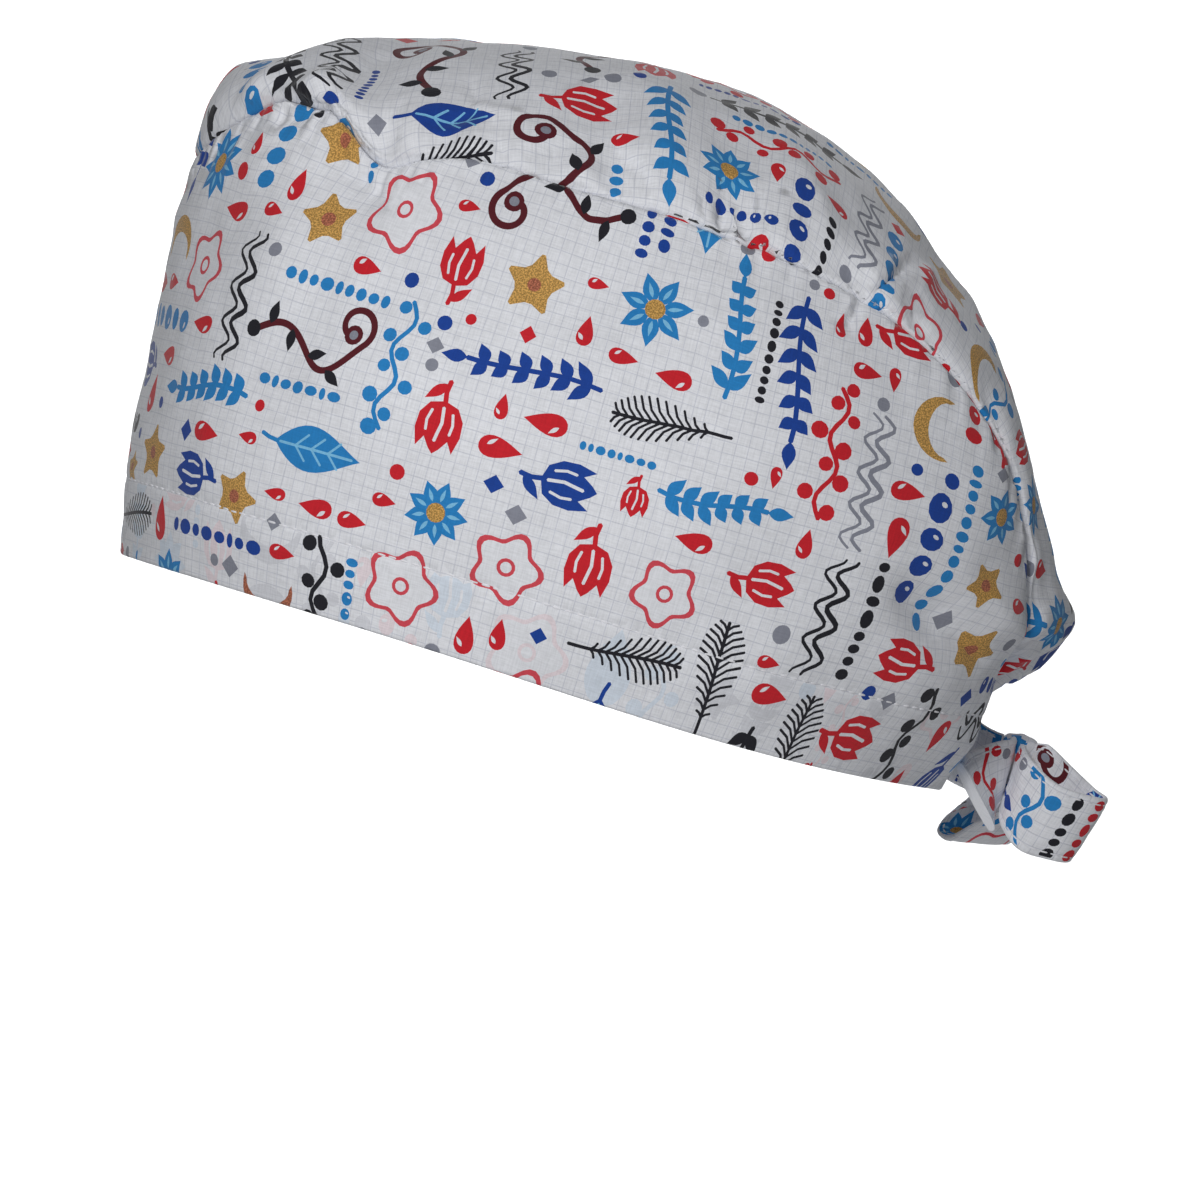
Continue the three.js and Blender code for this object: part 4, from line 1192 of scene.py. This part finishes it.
def build_side():
    u = np.linspace(U_END[0], U_END[1], 301)
    height = np.interp(u, U_GRID, H_GRID)
    slope = np.gradient(height, u)
    top = height + ALLOWANCE * np.sqrt(1 + np.minimum(slope**2, 1.5))
    outline = np.vstack([
        xy(u, -HEM_TURN),
        xy(u[-1], np.linspace(-HEM_TURN, top[-1], 14)[1:-1]),
        xy(u, top)[::-1],
        xy(u[0], np.linspace(top[0], -HEM_TURN, 14)[1:-1]),
    ])
    grid = net((U_END[0], -HEM_TURN), (U_END[1], top.max()), 3.8, STITCH_ROWS)
    grid = grid[np.abs(grid[:, 1]) > FOLD_CLEAR]
    along = np.linspace(U_END[0] + 0.3, U_END[1] - 0.3, 232)
    folds = [xy(along, m) for m in FOLD_ROWS]
    past = (-4.5, -3.2, -2.2, -1.3, -0.9, -0.45, 0, 0.45, 0.9, 1.3, 2.4)
    seam = [xy(u, height + d * np.sqrt(1 + slope**2)) for d in past]

    def place(x, y):
        return side_point(np.interp(x, U_GRID, S_GRID), np.clip(y / np.interp(x, U_GRID, H_GRID), 0, 1))

    more = finer(place, (U_END[0], 2), (U_END[1], top.max()))
    more = more[more[:, 1] < np.interp(more[:, 0], u, height) - 1.6]
    grid = np.vstack([grid, *seam, more])
    grid = grid[within(grid, outline * [0.9995, 1])]
    grid = grid[np.abs(grid[:, 1] + HEM_TURN) > 0.4]
    shapes = scatter(7, (U_END[0], -HEM_TURN), (U_END[1], 125), KINDS)
    ghosts = []
    for shape, ink in shapes:
        if shape[:, 1].min() < -1.5:
            shade = shape * [1, -1]
            shade[:, 1] = np.clip(shade[:, 1], 0.6, HEM_DEPTH - 0.5)
            if np.ptp(shade[:, 1]) > 0.6:
                ghosts.append((shade, GHOSTS[ink]))
    ob = cloth_piece("side_panel_cloth", "side_panel", outline, grid, ghosts + shapes, side_face, folds)
    return ob, np.trapz(top + HEM_TURN, u), (top.max() + HEM_TURN, u[-1] - u[0])


def build_top():
    edge = xy(*top_edge(np.linspace(-LAST, LAST, 401)))
    away = unit(xy(np.gradient(edge[:, 1]), -np.gradient(edge[:, 0])))
    away *= np.sign((away * (edge - [0, A_END / 2])).sum(-1))[:, None]
    outer = edge + away * ALLOWANCE
    outer = outer[outer[:, 1] < A_END - 1]
    end = np.linspace(outer[-1][0], outer[0][0], 24)
    outline = np.vstack([outer[::-1], xy(end[::-1], A_END + 8)])
    lo, hi = outline.min(0), outline.max(0)
    grid = net(lo, hi, 2.0)
    grid = grid[np.abs(grid[:, 1] - A_END) > FOLD_CLEAR]
    along = np.linspace(end.min() + 0.5, end.max() - 0.5, 40)
    folds = [xy(along, A_END + d) for d in FOLD_ROWS]
    seam = [edge - away * d for d in (5.5, 4, 2.8, 1.9, 1.3, 0.9, 0.45, 0, -0.45, -0.9, -1.3, -2.4)]

    def place(x, y):
        return top_point(np.interp(y, A_GRID, T_GRID), np.clip(x / half_width(y).clip(1), -1, 1))

    more = finer(place, (lo[0], 1), (hi[0], A_END - 3))
    more = more[np.abs(more[:, 0]) < half_width(more[:, 1]) - 2]
    grid = np.vstack([grid, *seam, more])
    grid = grid[within(grid, outline)]
    shapes = scatter(19, lo, hi, KINDS)
    ob = cloth_piece("top_panel_cloth", "top_panel", outline, grid, shapes, top_face, folds)
    x, y = outline.T
    area = 0.5 * abs(np.sum(x * np.roll(y, -1) - np.roll(x, -1) * y))
    return ob, area, (hi[0] - lo[0], hi[1] - lo[1])


def build_hem_stitches():
    spacing, half = 2.9, 1.05
    u = np.arange(U_END[0] + 3, U_END[1] - 3, spacing)
    rng = np.random.default_rng(5)
    runs = []
    for depth in (HEM_DEPTH, -HEM_DEPTH):
        um = u + rng.uniform(-0.15, 0.15, len(u))
        mm = float(depth) + rng.uniform(-0.08, 0.08, len(u))
        n = square_to(side_face, um, mm, 0.2, 0.2)
        lift = n * (CLOTH / 2 + 0.02)
        runs.append((side_face(um - half, mm) + lift, side_face(um + half, mm) + lift, n))
    return stitches("hem_stitches", runs, 0.62, 0.5)


# The ties, the bow and its knot.
BOW_UP = unit(np.array([0, 0.27, 0.963]))
BOW_BACK = np.array([0, BOW_UP[2], -BOW_UP[1]])
ACROSS = np.array([1.0, 0, 0])
KNOT_MIDDLE = (
    0.5 * (side_point(LAST, 0.0) + side_point(LAST, 1.0)) * [0, 1, 1]  # between the band's ends
    + BOW_BACK * (KNOT_SETBACK + KNOT_DEPTH / 2)
    - BOW_UP * KNOT_DROP
)


def by_knot(out, back, up):
    return (
        KNOT_MIDDLE
        + np.multiply.outer(out, ACROSS)
        + np.multiply.outer(back, BOW_BACK)
        + np.multiply.outer(up, BOW_UP)
    )


def strap_line(table, side, reach, closed):
    """A strap of the bow: functions of its row for the middle, width direction, half width, thickness."""
    last = len(table) - 1

    def middle(t):
        row = curve(table, t)
        out = KNOT_WIDTH / 2 + TIE_GAP + row[..., OUT] * LOOP_SPREAD
        back = row[..., SLOT] * KNOT_DEPTH + row[..., BACK] * reach
        return by_knot(side * out, back, row[..., UP] * reach)

    def frame_at(t):
        t = np.clip(t, 0, last)
        row = curve(table, t)
        lean = np.radians(row[..., LEAN])
        width = -np.multiply.outer(np.cos(lean), BOW_UP) + np.multiply.outer(np.sin(lean), BOW_BACK)
        h = 0.12
        along = middle(np.minimum(t + h, last)) - middle(np.maximum(t - h, 0))
        start = bell(t / 0.25)[..., None]
        along = unit(along) * (1 - start) + start * ACROSS * side
        if closed:
            stop = bell((last - t) / 0.25)[..., None]
            along = along * (1 - stop) - stop * ACROSS * side
        normal = unit(np.cross(unit(along), width))
        half, thick = row[..., WIDE] * STRAP_WIDTH / 2, STRAP_THICKNESS + row[..., HEM] * END_HEM
        return middle(t), width, normal, half, thick

    return frame_at, last


def tie_line(side):
    """The run of a tie from the end of the side panel to the front of the knot."""
    s = side * LAST
    normal = square_to(side_point, np.array([s * 0.999]), np.array([0.5]), 0.02, 0.02)[0]
    end_down = unit(side_point(s, 0.1) - side_point(s, 0.9))
    onward = unit(np.cross(end_down, normal))
    if onward[0] * side > 0:
        onward = -onward
    start = side_point(s, 0.5) - normal * 0.9 - onward * 3.0
    stop = by_knot(side * KNOT_WIDTH * 0.25, -KNOT_DEPTH / 2 + 1.0, 0.0)
    pull = np.linalg.norm(stop - start) * 0.45
    a, b, c, d = start, start + onward * pull, stop - BOW_BACK * pull, stop

    def frame_at(t):
        f = np.clip(t, 0, 1)[..., None]
        g = 1 - f
        p = a * g**3 + b * 3 * g**2 * f + c * 3 * g * f**2 + d * f**3
        along = (b - a) * 3 * g**2 + (c - b) * 6 * g * f + (d - c) * 3 * f**2
        width = unit(end_down * g - BOW_UP * f)
        n = unit(np.cross(unit(along), width))
        half = STRAP_WIDTH / 2 * (1 - 0.16 * f[..., 0])
        return p, width, n, half, STRAP_THICKNESS + 0 * half

    return frame_at, 1


STRAP_SEAM = 1.7  # the stitches' distance from a strap's edges
STRAP_GROOVE = 0.22  # how deep they press it in


def build_strap(name, node, line, seed, crumple):
    """A tie: a flat tube of cloth with its edges stitched, printed all round."""
    frame_at, last = line
    t = np.linspace(0, last, 400)
    along = walked(frame_at(t)[0])
    length = along[-1]
    girth = 2 * STRAP_WIDTH
    ripple = waves(seed, 7, 5, 12)

    def face(x, y):
        """x runs round the strap from 0 to its girth, y along it."""
        row = np.interp(np.clip(y, 0, length), along, t)
        p, width, normal, h, thick = frame_at(row)
        q = np.mod(x, girth) / girth
        front = q < 0.5
        f = np.where(front, 4 * q - 1, 3 - 4 * q)
        body = np.sqrt(np.maximum(1 - np.abs(f) ** 9, 0))
        lift = np.where(front, 1, -1) * thick / 2 * body
        groove = STRAP_GROOVE * bell((np.abs(f) * h - (h - STRAP_SEAM)) / 0.5)
        lift = lift - np.where(front, 1, -1) * groove
        near = crumple[0] * bell(y / 7) + crumple[1] * bell((length - y) / 7) + crumple[2]
        bend = ripple(f * h * 0.5, y) * near
        return p + width * (f * h)[..., None] + normal * (lift + bend)[..., None]

    ys = np.arange(0, length, 1.0)
    ys = np.append(ys[:-1], length) if length - ys[-1] < 0.6 else np.append(ys, length)
    edges = [0.25, 0.5, 0.75, 0.8, 0.85, 0.9, 0.95, 0.985]  # columns, closer at the strap's edges
    fs = np.array([-1, *(-f for f in edges[::-1]), 0, *edges])
    xs = np.concatenate([(fs + 1) / 4, 0.5 + (1 - np.append(fs[1:], 1)[::-1]) / 4]) * girth
    xs = np.unique(np.round(np.append(xs, girth), 5))
    gx, gy = np.meshgrid(xs[1:-1], ys[1:-1])
    grid = xy(gx.ravel(), gy.ravel())
    outline = np.vstack([
        xy(xs, 0), xy(girth, ys[1:]), xy(xs[:-1], length)[::-1], xy(0, ys[1:-1])[::-1],
    ])
    kinds = [(LARGE, 0.02, 1.1), (MIDDLE, 0.03, 1.0), (SMALL, 0.02, 1.0)]
    shapes = []
    for k, (x0, x1) in enumerate(((1.2, girth / 2 - 1.2), (girth / 2 + 1.2, girth - 1.2))):
        part = scatter(seed * 10 + k, (x0, -8), (x1, length + 8), kinds, 1.0)
        for p, c in part:
            q = p.copy()
            q[:, 0] = np.clip(q[:, 0], x0 - 0.6, x1 + 0.6)
            q[:, 1] = np.clip(q[:, 1], 0.5, length - 0.5)
            if np.ptp(q[:, 0]) > 0.5 and np.ptp(q[:, 1]) > 0.5:
                shapes.append((q, c))
    flat, triangles, ink = cut_out(outline, grid, shapes)
    x, y = flat[:, 0], flat[:, 1]
    points = face(x, y)
    h = 0.06
    y0, y1 = np.maximum(y - h, 0), np.minimum(y + h, length)
    normal = unit(np.cross(face(x + h, y) - face(x - h, y), face(x, y1) - face(x, y0)))
    out = points - frame_at(np.interp(y, along, t))[0]
    flip = np.sign(np.median((normal * out).sum(-1)))
    normal = normal * flip
    if flip < 0:
        triangles = triangles[:, ::-1]
    # The tube closes where its first and last columns meet.
    last_column = np.nonzero(x > girth - 1e-3)[0]
    first_column = np.nonzero(x < 1e-3)[0]
    order = first_column[np.argsort(y[first_column])]
    match = np.arange(len(flat))
    near = np.searchsorted(y[order], y[last_column] - 1e-3)
    match[last_column] = order[np.clip(near, 0, len(order) - 1)]
    tri = match[triangles]
    ends = []
    for where in (0.0, length):
        ring = np.nonzero((np.abs(y - where) < 1e-3) & (x < girth - 1e-3))[0]
        ring = ring[np.argsort(x[ring])]
        ends.append(ring if (where == 0.0) == (flip < 0) else ring[::-1])
    used = np.unique(tri)
    back = np.full(len(flat), -1)
    back[used] = np.arange(len(used))
    faces = back[tri].tolist() + [back[r].tolist() for r in ends]
    normals = [normal[tri].reshape(-1, 3)]
    uv = [flat[triangles].reshape(-1, 2)]
    for r in ends:
        p = points[r] - points[r].mean(0)
        n = unit(-np.cross(np.roll(p, -1, axis=0), p).sum(0))
        normals.append(np.tile(n, (len(r), 1)))
        uv.append(flat[r])
    colours = np.vstack([INK_TABLE[ink], np.tile(WHITE, (len(ends), 1))])
    slots = np.concatenate([ink_slots(ink), [3] * len(ends)])
    made = put(name, points[used], faces, slots, CLOTH_SLOTS, np.vstack(normals), colours, np.vstack(uv))
    ob = on_body(made, node)
    return face, length, girth


def build_knot():
    """The knot: a band drawn round the straps, with creases that run to its edges."""
    rows, columns, squareness = 72, 26, 3.4
    ripple = waves(77, 8, 4, 10)
    girth = 2 * (KNOT_DEPTH + KNOT_HEIGHT) * 0.86

    def face(x, y):
        a = x / girth * 2 * np.pi
        f = y / (KNOT_WIDTH / 2)
        c, s = np.cos(a), np.sin(a)
        r = (np.abs(c) ** squareness + np.abs(s) ** squareness) ** (-1 / squareness)
        shrink = 1 - 0.24 * np.abs(f) ** 3
        crease = 0.28 * np.sin(5 * a + 2.6 * f) + 0.32 * ripple(x, y * 2.2)
        crease = crease + 0.4 * bell((f - 0.25) / 0.2) * np.sin(2 * a + 1)
        p = np.abs(1 - f**8).clip(0) ** 0.5
        back = (KNOT_DEPTH / 2 * shrink + crease * 0.6) * r * c * (0.55 + 0.45 * p)
        up = (KNOT_HEIGHT / 2 * shrink + crease * 0.6) * r * s * (0.62 + 0.38 * p)
        return by_knot(y, back, up)

    f = np.sin(np.linspace(-math.pi / 2, math.pi / 2, columns))
    x = np.linspace(0, girth, rows, endpoint=False)
    gx, gy = np.meshgrid(x, f * KNOT_WIDTH / 2, indexing="ij")
    points = face(gx, gy).reshape(-1, 3)
    faces, uv = [], []
    for i in range(rows):
        for j in range(columns - 1):
            a, b = i * columns + j, ((i + 1) % rows) * columns + j
            faces.append([a, b, b + 1, a + 1])
            u0, u1 = x[i], x[i] + girth / rows
            v0, v1 = f[j] * KNOT_WIDTH / 2, f[j + 1] * KNOT_WIDTH / 2
            uv += [(u0, v0), (u1, v0), (u1, v1), (u0, v1)]
    ends = [[i * columns for i in range(rows)][::-1], [i * columns + columns - 1 for i in range(rows)]]
    centre = points.mean(0)
    n = np.cross(points[faces[0][1]] - points[faces[0][0]], points[faces[0][2]] - points[faces[0][0]])
    if np.dot(n, points[faces[0][0]] - centre) < 0:
        faces = [q[::-1] for q in faces]
        uv = [c for k in range(0, len(uv), 4) for c in uv[k : k + 4][::-1]]
        ends = [e[::-1] for e in ends]
    uv += [(0, 0)] * (2 * rows)
    faces += ends
    shapes = scatter(55, (0, -8), (girth, 8), [(LARGE, 0.004, 1.0), (MIDDLE, 0.03, 1.0)], 0.6)
    middle = np.array([
        [x[i] + girth / rows / 2, (f[j] + f[j + 1]) * KNOT_WIDTH / 4]
        for i in range(rows) for j in range(columns - 1)
    ])
    ink = np.full(len(middle), -1)
    for shape, name in shapes:
        ink[within(middle, shape)] = INK_NAMES.index(name)
    colours = np.vstack([INK_TABLE[ink], np.tile(WHITE, (2, 1))])
    slots = np.concatenate([np.where(ink < 0, 0, 1), [0, 0]])
    ob = on_body(put("knot_cloth", points, faces, slots, CLOTH_SLOTS, None, colours, uv), "bow_knot")


def build_strap_stitches(straps):
    spacing, long, lift = 2.6, 1.9, 0.06
    runs = []
    for face, length, girth in straps:
        y = np.arange(0.8, length - spacing, spacing)
        for x in (STRAP_SEAM, girth / 2 - STRAP_SEAM, girth / 2 + STRAP_SEAM, girth - STRAP_SEAM):
            xs = np.full(len(y), x)
            n = square_to(face, xs, y + 0.9, 0.1, 0.1)
            across = face(xs, y + 0.9) - face(np.mod(girth - xs, girth), y + 0.9)
            n = n * np.sign((n * across).sum(-1))[:, None]
            runs.append((face(xs, y) + n * lift, face(xs, y + long) + n * lift, n))
    stitches("tie_stitches", runs, 0.45, 0.36)


# The camera, as the photo has it.
FRAME_WIDTH = 285.7  # at the median plane
SENSOR = 36
camera = bpy.data.cameras.new("camera")
camera.lens = SENSOR * EYE[0] / FRAME_WIDTH
camera.sensor_width = SENSOR
eye = bpy.data.objects.new("camera", camera)
eye.location = [v / 1000 for v in EYE]
eye.rotation_euler = (math.radians(90), 0, math.radians(90))
bpy.context.scene.collection.objects.link(eye)
bpy.context.scene.camera = eye

side, side_area, side_flat = build_side()
top, top_area, top_flat = build_top()
hem = build_hem_stitches()
# The cloth of each strap, the solid it replaces, its line, its seed, and how crumpled it is at its
# start, at its end and everywhere.
STRAPS = [
    ("tie_left_cloth", "tie_left", tie_line(1), 61, (0.1, 0.2, 0.05)),
    ("tie_right_cloth", "tie_right", tie_line(-1), 62, (0.1, 0.2, 0.05)),
    ("loop_left_cloth", "bow_loop_left", strap_line(LEFT_LOOP, 1, LOOP_REACH, True), 63, (0.3, 0.3, 0.08)),
    ("loop_right_cloth", "bow_loop_right", strap_line(RIGHT_LOOP, -1, LOOP_REACH, True), 64, (0.3, 0.3, 0.08)),
    ("end_left_cloth", "tie_end_left", strap_line(LEFT_TAIL, 1, TAIL_REACH, False), 65, (0.25, 0.0, 0.06)),
    ("end_right_cloth", "tie_end_right", strap_line(RIGHT_TAIL, -1, TAIL_REACH, False), 66, (0.25, 0.0, 0.06)),
]
straps = [build_strap(*strap) for strap in STRAPS]
build_knot()
build_strap_stitches(straps)


def stage():
    """A white floor that curves up into a wall, in metres."""
    far, low, round_r, near, half, high = -2.15, -0.28, 0.7, 2.6, 3.0, 2.6
    profile = [(near, low), (1.0, low), (far + round_r, low)]
    for k in range(1, 13):
        a = math.pi / 2 * k / 12
        profile.append((far + round_r - round_r * math.sin(a), low + round_r * (1 - math.cos(a))))
    profile.append((far, high))
    points = [(x, y, z) for x, z in profile for y in (-half, half)]
    faces = [[2 * i, 2 * i + 1, 2 * i + 3, 2 * i + 2] for i in range(len(profile) - 1)]
    me = bpy.data.meshes.new("floor")
    me.from_pydata(points, [], faces)
    me.polygons.foreach_set("use_smooth", [True] * len(faces))
    me.materials.append(new_material("floor_white", Base_Color=(0.9, 0.9, 0.9, 1), Roughness=0.9)[0])
    ob = bpy.data.objects.new("floor", me)
    bpy.context.scene.collection.objects.link(ob)


def lamp(name, place, size, power, target=(0, 0.0, 0.05)):
    data = bpy.data.lights.new(name, "AREA")
    data.shape = "SQUARE"
    data.size = size
    data.energy = power
    ob = bpy.data.objects.new(name, data)
    ob.location = place
    ob.rotation_euler = (Vector(target) - Vector(place)).to_track_quat("-Z", "Y").to_euler()
    bpy.context.scene.collection.objects.link(ob)


stage()
lamp("key", (0.6, -0.08, 0.23), 0.19, 2.0)
lamp("fill", (-1.1, 0.25, 0.75), 0.8, 4)
lamp("backdrop", (-1.4, 0.0, 0.62), 0.6, 11.5, (-2.1, 0.0, -0.02))
world = bpy.data.worlds.new("studio")
bpy.context.scene.world = world
world.use_nodes = True
background = world.node_tree.nodes["Background"]
background.inputs["Color"].default_value = (0.94, 0.97, 1.0, 1)
background.inputs["Strength"].default_value = 0.11
bpy.context.scene.view_settings.view_transform = "Standard"
